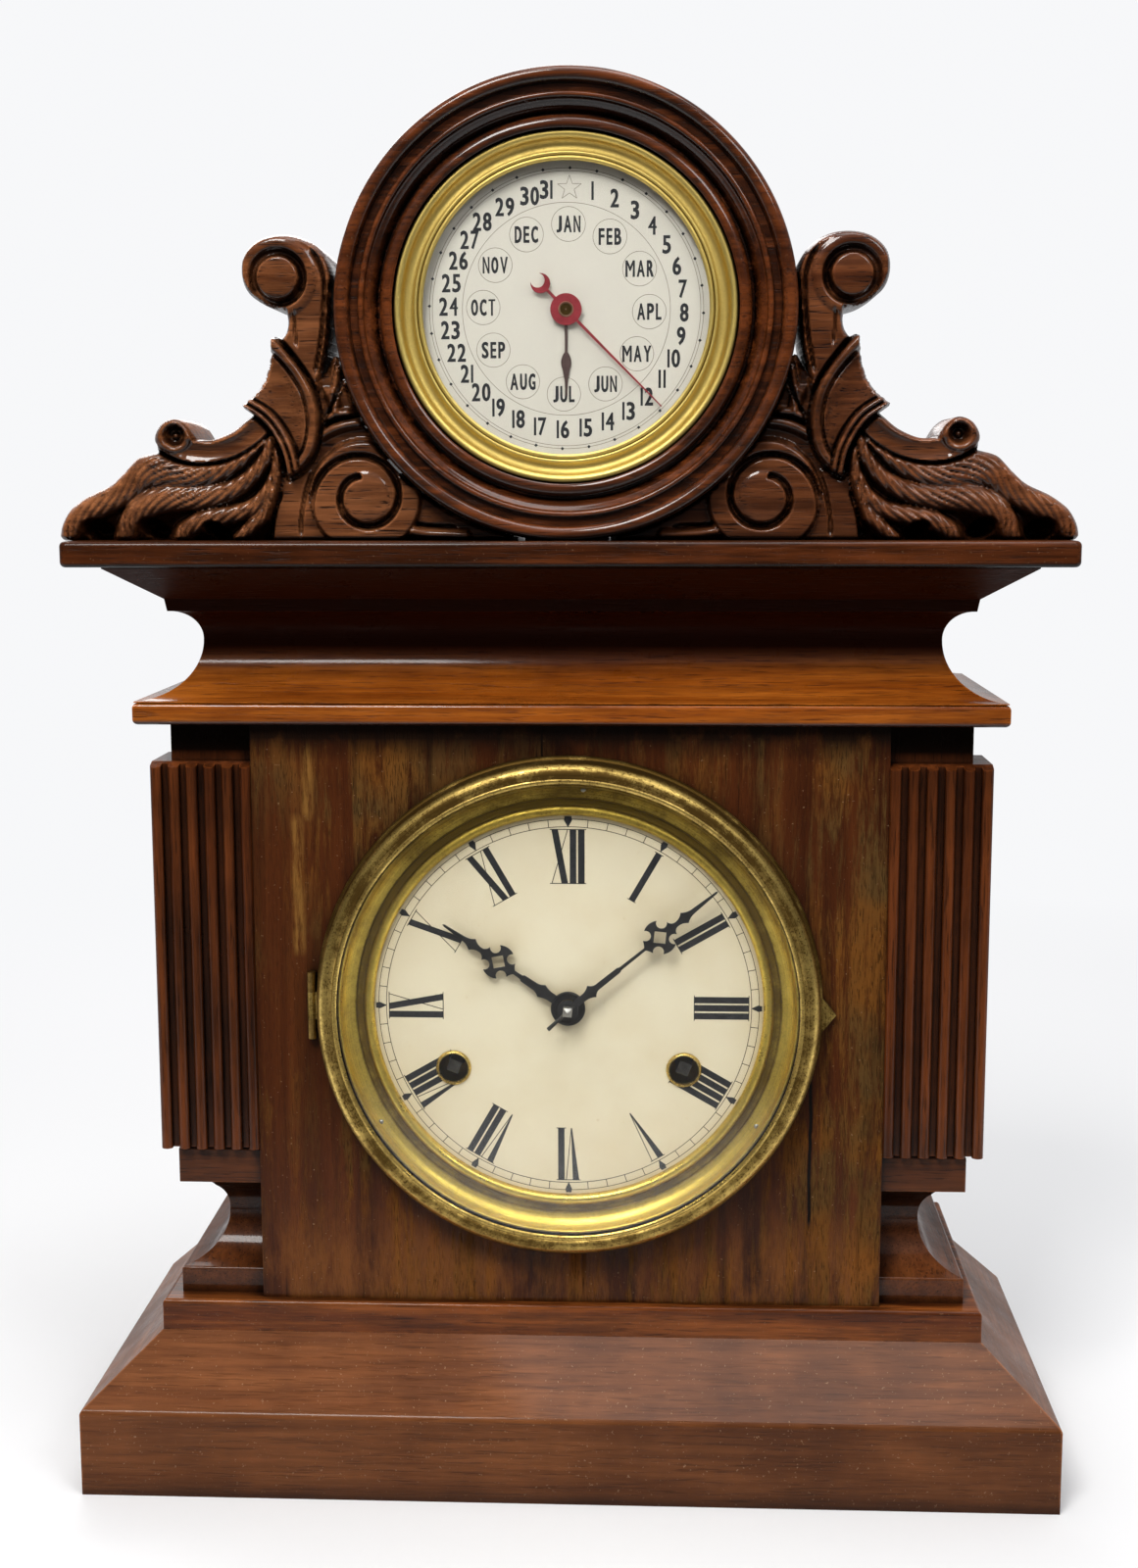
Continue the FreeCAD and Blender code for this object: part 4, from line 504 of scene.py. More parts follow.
# %% Paper and glass
def paper(name, clean, stained):
    f = Finish(name, {"Roughness": 0.8, "Specular IOR Level": 0.2})
    blotches = f.noise(f.plain, 26.0, 4.0, 0.6).spread(0.42, 0.78, 0.0, 0.5)
    specks = f.noise(f.plain, 420.0, 2.0).spread(0.70, 0.78, 0.0, 0.5)
    fibres = f.noise(f.plain, 2600.0, 2.0).spread(0.3, 0.7, 0.0, 0.12)
    f.start(blotches + specks + fibres, clean, stained)
    # painted shade with some ageing: the paper darkens near the walls of the bezel and the ring
    f.leave(f.corners(0.012, 0.25, 0.75), shaded(stained, 0.75))
    return f.made({}, fibres, 0.3, 0.00003)


def printed(name, tone, worn_tone):
    f = Finish(name, {"Roughness": 0.6, "Specular IOR Level": 0.25})
    f.start(f.noise(f.plain, 600.0).spread(0.3, 0.8), tone, worn_tone)
    return f.made({})


ivory = paper("dial_paper", colour(230, 219, 194), colour(208, 188, 150))
white_paper = paper("calendar_paper", colour(250, 246, 246), colour(226, 219, 208))
ink = printed("printing_ink", colour(24, 25, 30), colour(46, 46, 50))
faint_ink = printed("faint_ink", colour(112, 104, 96), colour(146, 138, 126))

window = Finish("window_glass", {"Base Color": (0.97, 0.985, 0.975, 1.0), "Roughness": 0.0, "IOR": 1.5,
                                 "Transmission Weight": 1.0})
glass = window.material
open_way = put(window.tree, "BsdfTransparent", {"Color": (0.96, 0.97, 0.96, 1.0)})
pane = mixed(window.tree, outputs(window.tree, "LightPath")["Is Shadow Ray"], window.shader, open_way)
feed(window.tree.nodes["Material Output"], {"Surface": pane.outputs[0]})

# %% [markdown]
# ## Dressing the frame
# Each node of the frame takes its finish from its material slot, and the wooden ones also from the
# way their grain runs: along the length of a moulding, upright in posts and panels.

# %% Assign finishes
SLOT_FINISH = {
    "dark_walnut": walnut["x"], "panel_veneer": veneer, "light_board": honey["x"],
    "carving_wood": carving, "back_wood": deal, "aged_brass": aged_brass,
    "bright_brass": bright_brass, "movement_brass": works_brass, "blued_steel": black_steel,
    "red_hand_paint": red_paint, "brown_hand_paint": brown_paint, "steel": plain_steel,
    "spring_steel": blue_steel, "iron": iron, "dial_paper": ivory,
    "calendar_paper": white_paper, "clear_glass": glass,
}
NODE_FINISH = {
    "plinth_front_moulding": plinth_wood["x"], "plinth_side_mouldings": plinth_wood["y"],
    "cornice_front_moulding": honey["x"], "cornice_side_mouldings": honey["y"],
    "foot_mouldings": walnut["y"], "pilaster_right": post_wood, "pilaster_left": post_wood,
    "top_board": top_wood, "base_board": edge_wood, "calendar_ring": mahogany,
    "side_board_right": walnut["z"], "side_board_left": walnut["z"],
    # painted shade: the winding arbors take the darkened steel
    "winding_arbor_right": arbor_steel_in_shade, "winding_arbor_left": arbor_steel_in_shade,
}
SLOT_OF = {part["node"]: part["material_slot"] for part in frame["record"]["subparts"]}


def dress(piece, finish):
    piece.data.materials.clear()
    piece.data.materials.append(finish)


for node, piece in frame["nodes"].items():
    dress(piece, NODE_FINISH.get(node, SLOT_FINISH[SLOT_OF[node]]))
print("dressed", len(frame["nodes"]), "nodes")

# %% [markdown]
# ## Tools for new pieces
# New pieces are drawn in millimetres in the clock's own frame, shaped by bmesh operators, and scaled
# to metres when they are finished. Each rides on the body of the frame that carries it.

# %% Finishing a piece
def make_piece(bm, name, finish, body, smooth=35.0, replaces=()):
    bmesh.ops.scale(bm, vec=(MM, MM, MM), verts=bm.verts)
    mesh = bpy.data.meshes.new(name)
    bm.to_mesh(mesh)
    bm.free()
    mesh.materials.append(finish)
    mesh.shade_smooth()
    mesh.set_sharp_from_angle(angle=math.radians(smooth))
    piece = bpy.data.objects.new(name, mesh)
    scene.collection.objects.link(piece)
    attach(piece, body)
    if replaces:
        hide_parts(*replaces)
    return piece


def bow(start, through, end, count=8):
    """Points after start, up to end, on the circle through three points."""
    (ax, ay), (bx, by), (cx, cy) = start, through, end
    d = 2 * (ax * (by - cy) + bx * (cy - ay) + cx * (ay - by))
    a2, b2, c2 = ax * ax + ay * ay, bx * bx + by * by, cx * cx + cy * cy
    ux = (a2 * (by - cy) + b2 * (cy - ay) + c2 * (ay - by)) / d
    uy = (a2 * (cx - bx) + b2 * (ax - cx) + c2 * (bx - ax)) / d
    radius = math.hypot(ax - ux, ay - uy)
    first = math.atan2(ay - uy, ax - ux)
    middle = (math.atan2(by - uy, bx - ux) - first) % math.tau
    last = (math.atan2(cy - uy, cx - ux) - first) % math.tau
    sweep = last if middle < last else last - math.tau
    return [(ux + radius * math.cos(first + sweep * i / count),
             uy + radius * math.sin(first + sweep * i / count)) for i in range(1, count + 1)]


def section(*steps):
    """An outline. A step is a point, or (through, end) or (through, end, count) for an arc that goes on
    from the point before."""
    points = []
    for step in steps:
        points += bow(points[-1], *step) if isinstance(step[0], tuple) else [step]
    return points


def turn_profile(profile, x, z, steps=240):
    """Spins a closed profile of (radius, y) points about a Y axis through x, z."""
    bm = bmesh.new()
    verts = [bm.verts.new((x + r, y, z)) for r, y in profile]
    edges = [bm.edges.new((a, b)) for a, b in zip(verts, verts[1:] + verts[:1])]
    bmesh.ops.spin(bm, geom=verts + edges, cent=(x, 0, z), axis=(0, 1, 0), dvec=(0, 0, 0),
                   angle=math.tau, steps=steps, use_merge=True)
    bmesh.ops.remove_doubles(bm, verts=bm.verts, dist=1e-4)
    bmesh.ops.recalc_face_normals(bm, faces=bm.faces)
    return bm


def block(bm, size, place=(0.0, 0.0, 0.0)):
    """A rectangular block with its middle at place."""
    made = bmesh.ops.create_cube(bm, size=1.0)["verts"]
    bmesh.ops.scale(bm, vec=size, verts=made)
    bmesh.ops.translate(bm, vec=place, verts=made)


def rod(bm, radius, length, place=(0.0, 0.0, 0.0), other_radius=None, segments=32):
    """An upright rod with its middle at place."""
    top = radius if other_radius is None else other_radius
    made = bmesh.ops.create_cone(bm, cap_ends=True, segments=segments, radius1=radius, radius2=top,
                                 depth=length)["verts"]
    bmesh.ops.translate(bm, vec=place, verts=made)
    return made


def pull(bm, faces, depth):
    """Draws flat faces out along Y, which makes a board of its drawing."""
    drawn = bmesh.ops.extrude_face_region(bm, geom=faces)["geom"]
    bmesh.ops.translate(bm, vec=(0, depth, 0), verts=[v for v in drawn if isinstance(v, bmesh.types.BMVert)])


def box_of(node):
    """Lowest and highest corner of a node, in millimetres."""
    low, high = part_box(node)
    return low / MM, high / MM

# %% [markdown]
# ## The printed dials
# Printing has no thickness worth the name, but it must lie on the paper and never sink into it. Each
# stroke is a flat face a little above the paper, given a hair's thickness.

# %% Dial sizes
dial_low, dial_high = box_of("dial_plate")
DIAL_X, DIAL_Z = (dial_low.x + dial_high.x) / 2, (dial_low.z + dial_high.z) / 2
PRINT_Y = dial_low.y - 0.05
cal_low, cal_high = box_of("calendar_dial")
CAL_X, CAL_Z = (cal_low.x + cal_high.x) / 2, (cal_low.z + cal_high.z) / 2
CAL_PRINT_Y = cal_low.y - 0.05
INK_THICK = 0.04
print("dial centre", round(DIAL_X, 2), round(DIAL_Z, 2),
      "calendar centre", round(CAL_X, 2), round(CAL_Z, 2))


def turned(points, turn, centre):
    """Points turned clockwise about the origin, then set at centre."""
    c, s = math.cos(turn), math.sin(turn)
    return [(centre[0] + u * c + v * s, centre[1] - u * s + v * c) for u, v in points]


def stroke(bm, points, y, turn=0.0, centre=(0.0, 0.0)):
    """One flat face."""
    bm.faces.new([bm.verts.new((u, y, v)) for u, v in turned(points, turn, centre)])


def ring_line(bm, radius, width, y, centre, segments=180):
    """A printed circle: two circles bridged."""
    edges = []
    for r in (radius - width / 2, radius + width / 2):
        made = bmesh.ops.create_circle(bm, segments=segments, radius=r)["verts"]
        for v in made:
            v.co = (centre[0] + v.co.x, y, centre[1] + v.co.y)
        edges += list({e for v in made for e in v.link_edges})
    bmesh.ops.bridge_loops(bm, edges=edges)


def thicken(bm):
    """Gives flat printing its thickness, with its front towards the viewer."""
    for face in bm.faces:
        face.normal_update()
        if face.normal.y > 0:
            face.normal_flip()
    bmesh.ops.solidify(bm, geom=bm.faces[:], thickness=INK_THICK)


# %% Roman numerals
NUMERALS = ("XII", "I", "II", "III", "IIII", "V", "VI", "VII", "VIII", "IX", "X", "XI")
BASE_R, TOP_R = 45.8, 65.6
BAR, HAIR = 2.35, 0.28
WIDTHS = {"I": 3.0, "V": 5.4, "X": 6.6}
WINDING_X, WINDING_DROP = 42.2, 23.3


def letter(bm, kind, left, turn):
    """One letter of a numeral: a thick bar, and a hairline second stroke on X and V."""
    right = left + WIDTHS[kind]
    middle = (left + right) / 2
    bars = {"I": [(middle - BAR / 2, middle + BAR / 2, middle + BAR / 2, middle - BAR / 2)],
            "X": [(right - BAR - 0.3, right - 0.3, left + BAR + 0.3, left + 0.3),
                  (left + 0.3, left + 0.3 + HAIR, right - 0.3, right - 0.3 - HAIR)],
            "V": [(middle + 0.25, middle + 0.6, left + BAR + 0.3, left + 0.3),
                  (middle + 0.4, middle + 0.65, right - 0.2, right - 0.2 - HAIR)]}
    for low_left, low_right, high_right, high_left in bars[kind]:
        stroke(bm, [(low_left, BASE_R), (low_right, BASE_R), (high_right, TOP_R), (high_left, TOP_R)],
               PRINT_Y, turn, (DIAL_X, DIAL_Z))


def numeral(bm, text, turn):
    """The letters of an hour side by side, with hairline serifs; the V has none at its point."""
    left = -sum(WIDTHS[kind] for kind in text) / 2
    for kind in text:
        letter(bm, kind, left, turn)
        right = left + WIDTHS[kind]
        for level in (TOP_R,) if kind == "V" else (BASE_R, TOP_R):
            serif = [(left - 0.25, level - HAIR / 2), (right + 0.25, level - HAIR / 2),
                     (right + 0.25, level + HAIR / 2), (left - 0.25, level + HAIR / 2)]
            stroke(bm, serif, PRINT_Y - 0.002, turn, (DIAL_X, DIAL_Z))
        left = right


def from_hole(spot):
    """Distance of a point from the nearer winding hole."""
    return min(math.hypot(spot.x - DIAL_X - side * WINDING_X, spot.z - DIAL_Z + WINDING_DROP)
               for side in (-1, 1))


bm = bmesh.new()
for hour, text in enumerate(NUMERALS):
    numeral(bm, text, math.radians(30 * hour))
beside = [f for f in bm.faces if min(from_hole(v.co) for v in f.verts) < 12.0]
bmesh.ops.subdivide_edges(bm, edges=list({e for f in beside for e in f.edges}), cuts=20, use_grid_fill=True)
punched = [f for f in bm.faces if from_hole(f.calc_center_median()) < 5.9]
bmesh.ops.delete(bm, geom=punched, context="FACES")
thicken(bm)
make_piece(bm, "dial_numerals", ink, "case")

# %% Minute track
TRACK_INNER, TRACK_OUTER = 66.6, 69.4
bm = bmesh.new()
for radius in (TRACK_INNER, TRACK_OUTER):
    ring_line(bm, radius, 0.22, PRINT_Y, (DIAL_X, DIAL_Z))
for minute in range(60):
    turn = math.radians(6 * minute)
    if minute % 5:
        tick = [(-0.12, TRACK_INNER), (0.12, TRACK_INNER), (0.12, TRACK_OUTER), (-0.12, TRACK_OUTER)]
    else:
        half = 1.5 if minute == 0 else 1.2
        tick = [(0.0, 66.4), (half, 69.0), (half * 0.8, 70.4), (-half * 0.8, 70.4), (-half, 69.0)]
    stroke(bm, tick, PRINT_Y, turn, (DIAL_X, DIAL_Z))
thicken(bm)
make_piece(bm, "minute_track", ink, "case")

# %% [markdown]
# ### The calendar's figures
# The days run round the edge and stand upright, and the months sit in small circles inside them. The
# letters are a condensed sans, made from text that is turned to a mesh, narrowed and set in place.

# %% Calendar figures
CAL_TILT = math.radians(1.7)
DAY_R, MONTH_R, DOT_R = 40.6, 28.6, 47.2
DAY_HIGH, MONTH_HIGH = 6.3, 5.7
LETTER_WIDE = {"1": 0.95, "J": 2.0, "M": 3.4, "A": 2.9, "V": 2.8, "Y": 2.8, "L": 2.1, "E": 2.2, "F": 2.2}
MONTHS = ("JAN", "FEB", "MAR", "APL", "MAY", "JUN", "JUL", "AUG", "SEP", "OCT", "NOV", "DEC")
BOLD = 0.24                                 # how far each outline is moved outwards
NUDGE = {28: -0.9, 29: 0.6, 30: 2.0}        # the printer set these days a little to the side

def embolden(bm, grow):
    """Moves the outline of flat lettering outwards in its own plane."""
    shifts = {}
    for v in bm.verts:
        push = Vector()
        for e in v.link_edges:
            if e.is_boundary:
                along = e.verts[1].co - e.verts[0].co
                side = Vector((along.z, 0.0, -along.x)).normalized()
                away = (e.verts[0].co + e.verts[1].co) / 2 - e.link_faces[0].calc_center_median()
                push += side if side.dot(away) > 0 else -side
        shifts[v] = push.normalized() * grow
    for v, shift in shifts.items():
        v.co += shift


def flat_letter(bm, letter, u, v, wide, high):
    """Adds one letter as flat faces that fill a box centred on u, v in the calendar's plane."""
    curve = bpy.data.curves.new("figure", "FONT")
    curve.body = letter
    curve.resolution_u = 3
    holder = bpy.data.objects.new("figure", curve)
    mesh = bpy.data.meshes.new_from_object(holder)
    across, up = [p.co.x for p in mesh.vertices], [p.co.y for p in mesh.vertices]
    scale_u = (wide - 2 * BOLD) / (max(across) - min(across))
    scale_v = (high - 2 * BOLD) / (max(up) - min(up))
    middle_u, middle_v = (max(across) + min(across)) / 2, (max(up) + min(up)) / 2
    for p in mesh.vertices:
        p.co = (CAL_X + u + (p.co.x - middle_u) * scale_u, CAL_PRINT_Y,
                CAL_Z + v + (p.co.y - middle_v) * scale_v)
    shape = bmesh.new()
    shape.from_mesh(mesh)
    bmesh.ops.remove_doubles(shape, verts=shape.verts, dist=0.01)
    embolden(shape, BOLD)
    shape.to_mesh(mesh)
    shape.free()
    bm.from_mesh(mesh)
    bpy.data.objects.remove(holder)
    bpy.data.curves.remove(curve)
    bpy.data.meshes.remove(mesh)


def word(bm, text, u, v, high, plain_wide, gap):
    """Sets letters of their own widths side by side; a 1 is a plain bar."""
    wides = [LETTER_WIDE.get(letter, plain_wide) for letter in text]
    at = u - (sum(wides) + gap * (len(text) - 1)) / 2
    for letter, wide in zip(text, wides):
        flat_letter(bm, "I" if letter == "1" else letter, at + wide / 2, v, wide, high)
        at += wide + gap


def around(radius, turn):
    """The point at a radius and a clockwise turn from the top."""
    return radius * math.sin(turn), radius * math.cos(turn)


bm = bmesh.new()
for day in range(1, 32):
    u, v = around(DAY_R, math.radians(day * 360 / 32) + CAL_TILT)
    word(bm, str(day), u + NUDGE.get(day, 0.0), v, DAY_HIGH, 3.05, 0.75 if day == 11 else 0.5)
for number, name in enumerate(MONTHS):
    u, v = around(MONTH_R, math.radians(number * 30) + CAL_TILT)
    word(bm, name, u, v, MONTH_HIGH, 2.5, 0.5)
DOT_HALF = 0.62
for dot in range(32):
    u, v = around(DOT_R, math.radians(dot * 360 / 32) + CAL_TILT)
    stroke(bm, [(-DOT_HALF, 0), (0, -DOT_HALF), (DOT_HALF, 0), (0, DOT_HALF)], CAL_PRINT_Y, 0.0,
           (CAL_X + u, CAL_Z + v))
bmesh.ops.remove_doubles(bm, verts=bm.verts, dist=1e-5)
thicken(bm)
make_piece(bm, "calendar_figures", ink, "case")

# %% Calendar lines
LINE_Y, LINE_WIDE = CAL_PRINT_Y + 0.01, 0.2
bm = bmesh.new()
for radius in (DOT_R, 46.2, 35.8):
    ring_line(bm, radius, LINE_WIDE, LINE_Y, (CAL_X, CAL_Z))
for number in range(12):
    u, v = around(MONTH_R, math.radians(number * 30) + CAL_TILT)
    ring_line(bm, 5.8, LINE_WIDE, LINE_Y, (CAL_X + u, CAL_Z + v), 48)
star_u, star_v = around(DAY_R, CAL_TILT)
tips = [around(4.3 if i % 2 == 0 else 1.7, math.radians(36 * i)) for i in range(10)]
for (au, av), (bu, bv) in zip(tips, tips[1:] + tips[:1]):
    half = LINE_WIDE / 2 / math.hypot(bu - au, bv - av)
    nu, nv = -(bv - av) * half, (bu - au) * half
    stroke(bm, [(au - nu, av - nv), (bu - nu, bv - nv), (bu + nu, bv + nv), (au + nu, av + nv)],
           LINE_Y, 0.0, (CAL_X + star_u, CAL_Z + star_v))
thicken(bm)
make_piece(bm, "calendar_lines", faint_ink, "case")

# %% [markdown]
# ## The hands
# The hands are sawn from thin blued steel: a boss, a pointed baluster, a slim stem, a pierced cross with
# four flared arms, and a spear. An outline with its window is filled and pulled to the thickness of the
# sheet. The minute hand sits on the squared end of the arbor and is held by a taper pin.

# %% Sawing a sheet
def sheet(bm, loops, front, thick):
    """A flat plate inside the first loop of (x, z), less the others, its front at y = front."""
    edges = []
    for loop in loops:
        verts = [bm.verts.new((u, front, v)) for u, v in loop]
        edges += [bm.edges.new(pair) for pair in zip(verts, verts[1:] + verts[:1])]
    filled = bmesh.ops.triangle_fill(bm, edges=edges, use_beauty=True)["geom"]
    pull(bm, [item for item in filled if isinstance(item, bmesh.types.BMFace)], thick)
    bmesh.ops.recalc_face_normals(bm, faces=bm.faces)

def circle(radius, centre=(0.0, 0.0), count=64):
    return [(centre[0] + radius * math.cos(math.tau * i / count),
             centre[1] + radius * math.sin(math.tau * i / count)) for i in range(count)]


def soften(piece, width):
    """A small rounded arris, as left by a file."""
    arris = piece.modifiers.new("arris", "BEVEL")
    arris.width, arris.segments, arris.limit_method = width * MM, 2, "ANGLE"
    arris.angle_limit = math.radians(40)


# %% Outline of a hand
def clock_hand(baluster, cross, tip, stem, slim_from):
    """Loops of a hand that points up: the right half is drawn from the boss to the tip, then mirrored."""
    half = section(
        (stem + 0.3, 3.0), (stem + 0.3, baluster - 3.4),
        ((stem + 0.7, baluster - 1.6), (2.65, baluster), 5),
        ((stem + 0.5, baluster + 1.2), (stem + 0.1, baluster + 3.4), 5),
        (stem, slim_from), (stem * 0.6, slim_from + 0.4), (stem * 0.5, cross - 6.9),
        ((1.5, cross - 6.2), (2.9, cross - 5.5), 3), ((2.3, cross - 2.3), (5.5, cross - 2.9), 10),
        ((6.3, cross), (5.5, cross + 2.9), 6), ((2.3, cross + 2.3), (2.9, cross + 5.5), 10),
        ((1.7, cross + 6.0), (0.95, cross + 7.0), 3), ((1.15, cross + 9.6), (2.35, cross + 11.4), 5),
        ((1.3, cross + 13.2), (0.85, cross + 15.6), 5), (0.35, tip - 0.8))
    window = [(0.0, cross - 3.0), (3.0, cross), (0.0, cross + 3.0), (-3.0, cross)]
    return half + [(0.0, tip)] + [(-u, v) for u, v in reversed(half)], window


def cut_hand(name, node, body, angle, front, thick, boss, bore, shape):
    outline, window = clock_hand(*shape)
    place = (DIAL_X, DIAL_Z)
    turn = math.radians(angle)
    bm = bmesh.new()
    sheet(bm, [turned(outline, turn, place), turned(window, turn, place)], front, thick)
    sheet(bm, [circle(boss, place), circle(bore, place)], front - 0.02, thick + 0.04)
    hand = make_piece(bm, name, black_steel, body, 30.0, (node,))
    soften(hand, 0.12)


MINUTE_ANGLE, HOUR_ANGLE = 50.6, 304.2
cut_hand("minute_spear", "minute_hand", "minute_hand_set", MINUTE_ANGLE, -48.0, 0.9, 3.8, 1.7,
         (11.3, 43.0, 69.8, 1.0, 24.0))
cut_hand("hour_spear", "hour_hand", "hour_hand_set", HOUR_ANGLE, -45.4, 0.9, 6.3, 3.6,
         (11.7, 30.6, 55.0, 1.3, 20.0))

# %% Squared end of the arbor, its pin and the boss rim
def turn_hand(bm, angle):
    """Turns what is drawn pointing up to where a hand points."""
    bmesh.ops.rotate(bm, cent=(0, 0, 0), matrix=Matrix.Rotation(math.radians(angle), 3, "Y"), verts=bm.verts)


bm = bmesh.new()
block(bm, (3.3, 2.6, 3.3))
front_face = min(bm.faces, key=lambda f: f.calc_center_median().y)
bmesh.ops.poke(bm, faces=[front_face], offset=0.9)
turn_hand(bm, MINUTE_ANGLE + 45)
bmesh.ops.translate(bm, vec=(DIAL_X, -49.6, DIAL_Z), verts=bm.verts)
bmesh.ops.recalc_face_normals(bm, faces=bm.faces)
soften(make_piece(bm, "arbor_square", plain_steel, "minute_hand_set", 20.0), 0.12)

bm = bmesh.new()
rod(bm, 0.75, 13.0, (0, 0, -3.2), 0.5, 24)
turn_hand(bm, MINUTE_ANGLE - 4)
bmesh.ops.translate(bm, vec=(DIAL_X, -49.5, DIAL_Z), verts=bm.verts)
make_piece(bm, "taper_pin", iron, "minute_hand_set", 40.0)

bm = turn_profile([(5.3, -45.35), (5.3, -45.75), (5.6, -46.0), (6.0, -46.0), (6.25, -45.7), (6.25, -45.35)],
                  DIAL_X, DIAL_Z, 96)
make_piece(bm, "hour_boss_rim", black_steel, "hour_hand_set", 40.0)

# %% Calendar hands
DATE_ANGLE, MONTH_ANGLE = math.radians(135.0), math.radians(180.0)
CALENDAR_CENTRE = (CAL_X, CAL_Z)
bm = bmesh.new()
needle = [(-0.55, 0.0), (-0.22, 46.4), (0.0, 46.8), (0.22, 46.4), (0.55, 0.0), (0.5, -9.4), (-0.5, -9.4)]
sheet(bm, [turned(needle, DATE_ANGLE, CALENDAR_CENTRE)], -49.9, 0.5)
horns = [(2.05, -15.1), (-2.05, -15.1)]
moon = bow(horns[1], (0.0, -9.0), horns[0], 24) + bow(horns[0], (0.0, -11.3), horns[1], 18)
sheet(bm, [turned(moon, DATE_ANGLE, CALENDAR_CENTRE)], -49.92, 0.54)
sheet(bm, [circle(5.4, CALENDAR_CENTRE), circle(2.0, CALENDAR_CENTRE)], -49.94, 0.58)
soften(make_piece(bm, "date_pointer", red_paint, "date_set", 30.0, ("date_hand",)), 0.1)

bm = bmesh.new()
right = section((0.5, 0.0), (0.45, 14.4), ((0.9, 14.9), (1.2, 15.6), 3), ((1.75, 17.6), (1.25, 20.2), 8),
                (0.55, 24.0), (0.22, 29.0))
blade = right + [(0.0, 29.4)] + [(-u, v) for u, v in reversed(right)]
sheet(bm, [turned(blade, MONTH_ANGLE, CALENDAR_CENTRE)], -48.8, 0.5)
sheet(bm, [circle(4.2, CALENDAR_CENTRE), circle(2.9, CALENDAR_CENTRE)], -48.82, 0.54)
soften(make_piece(bm, "month_pointer", brown_paint, "month_set", 30.0,
                  ("month_hand",)), 0.1)

bm = turn_profile([(0.0, -50.1), (0.5, -49.95), (0.6, -49.7), (1.9, -49.7), (2.1, -50.15), (2.5, -50.2),
                   (2.65, -49.95), (2.65, -49.5), (0.0, -49.5)], CAL_X, CAL_Z, 64)
make_piece(bm, "calendar_nut", nut_bronze, "date_set", 40.0)

# %% [markdown]
# ## The turned ring
# The calendar sits in a drum of dark wood turned on a lathe. Its face is a row of soft shapes from the
# outside in: a fat bead, a groove, a thin bead, a deep hollow and a slope down to the glass. A lathe is
# the spin operator: the section is drawn once, with each bead as an arc through three points, and
# swept all the way round. The foot is then sawn flat where the drum stands on the top board.

# %% Turned ring
RING_AXIS_Z, RING_R, RING_LIMIT = 426.7, 79.0, 78.98
RING_SECTION = section(
    (59.4, -15.0), (66.0, -15.0), (66.0, -12.0), (RING_R, -12.0), (RING_R, -57.0),
    ((78.4, -59.2), (76.5, -60.0)), ((74.7, -59.3), (73.8, -57.2)),
    (73.5, -56.3), (71.1, -56.3), (70.9, -57.2), ((69.8, -58.4), (68.8, -57.2)),
    (68.6, -56.6), ((66.4, -54.9), (64.5, -52.0)),
    (64.0, -52.0), (63.7, -54.6), ((62.2, -56.1), (60.2, -56.4)), (59.4, -55.8))
RING_SECTION = [(min(radius, RING_LIMIT), y) for radius, y in RING_SECTION]
TOP_BOARD_Z = 348.0
WIRE_X, WIRE_Y, WIRE_HOLE_R = 10.0, -18.2, 2.2


def drill(piece, place, radius, depth):
    """Bores an upright hole from place, and keeps the result as plain mesh."""
    bm = bmesh.new()
    rod(bm, radius * MM, 2 * depth * MM, Vector(place) * MM, segments=24)
    bit_mesh = bpy.data.meshes.new("bit")
    bm.to_mesh(bit_mesh)
    bm.free()
    bit = bpy.data.objects.new("bit", bit_mesh)
    scene.collection.objects.link(bit)
    hole = piece.modifiers.new("hole", "BOOLEAN")
    hole.object, hole.operation = bit, "DIFFERENCE"
    bored = bpy.data.meshes.new_from_object(piece.evaluated_get(bpy.context.evaluated_depsgraph_get()))
    piece.modifiers.clear()
    piece.data = bored
    bpy.data.objects.remove(bit)


bm = turn_profile(RING_SECTION, CAL_X, RING_AXIS_Z, 288)
cut = bmesh.ops.bisect_plane(bm, geom=bm.verts[:] + bm.edges[:] + bm.faces[:], plane_co=(0, 0, TOP_BOARD_Z),
                             plane_no=(0, 0, -1), clear_outer=True)["geom_cut"]
bmesh.ops.triangle_fill(bm, edges=[e for e in cut if isinstance(e, bmesh.types.BMEdge)], use_beauty=True)
bmesh.ops.recalc_face_normals(bm, faces=bm.faces)
turned_ring = make_piece(bm, "turned_ring", ring_wood, "case", 50.0, ("calendar_ring",))
drill(turned_ring, (WIRE_X, WIRE_Y, TOP_BOARD_Z), WIRE_HOLE_R, 25.0)
print("ring", len(turned_ring.data.polygons), "faces")

# %% [markdown]
# The drum touches the top board along its sawn foot only, so a fillet of old glue fills the wedge on
# either side of it; the glue's dark colour also stands in for the shade in those wedges. Behind each front
# corner of the case a glue block stands on the base board. It holds the panel to the foot moulding, and it
# closes the place where the moulding's hollow is deeper than the panel's back.

# %% Glue fillets and corner blocks
FILLET_END, FILLET_FRONT, FILLET_LONG = 14.2, -54.0, 38.0
bm = bmesh.new()
for side in (-1, 1):
    under = [(side * x, RING_AXIS_Z - math.sqrt(RING_R ** 2 - x * x))
             for x in (7.4, 9.0, 10.5, 12.0, 13.2, FILLET_END)]
    wedge = [bm.verts.new((CAL_X + x, FILLET_FRONT, z)) for x, z in [(side * FILLET_END, TOP_BOARD_Z)] + under]
    pull(bm, [bm.faces.new(wedge)], FILLET_LONG)
bmesh.ops.recalc_face_normals(bm, faces=bm.faces)
make_piece(bm, "glue_fillets", glue_and_shade, "case")

bm = bmesh.new()
for side in (-1, 1):
    block(bm, (8.0, 18.4, 57.8), (side * 111.0, -22.2, 94.1))
corner_blocks = make_piece(bm, "corner_blocks", walnut["z"], "case")
print("corner blocks", len(corner_blocks.data.polygons), "faces")

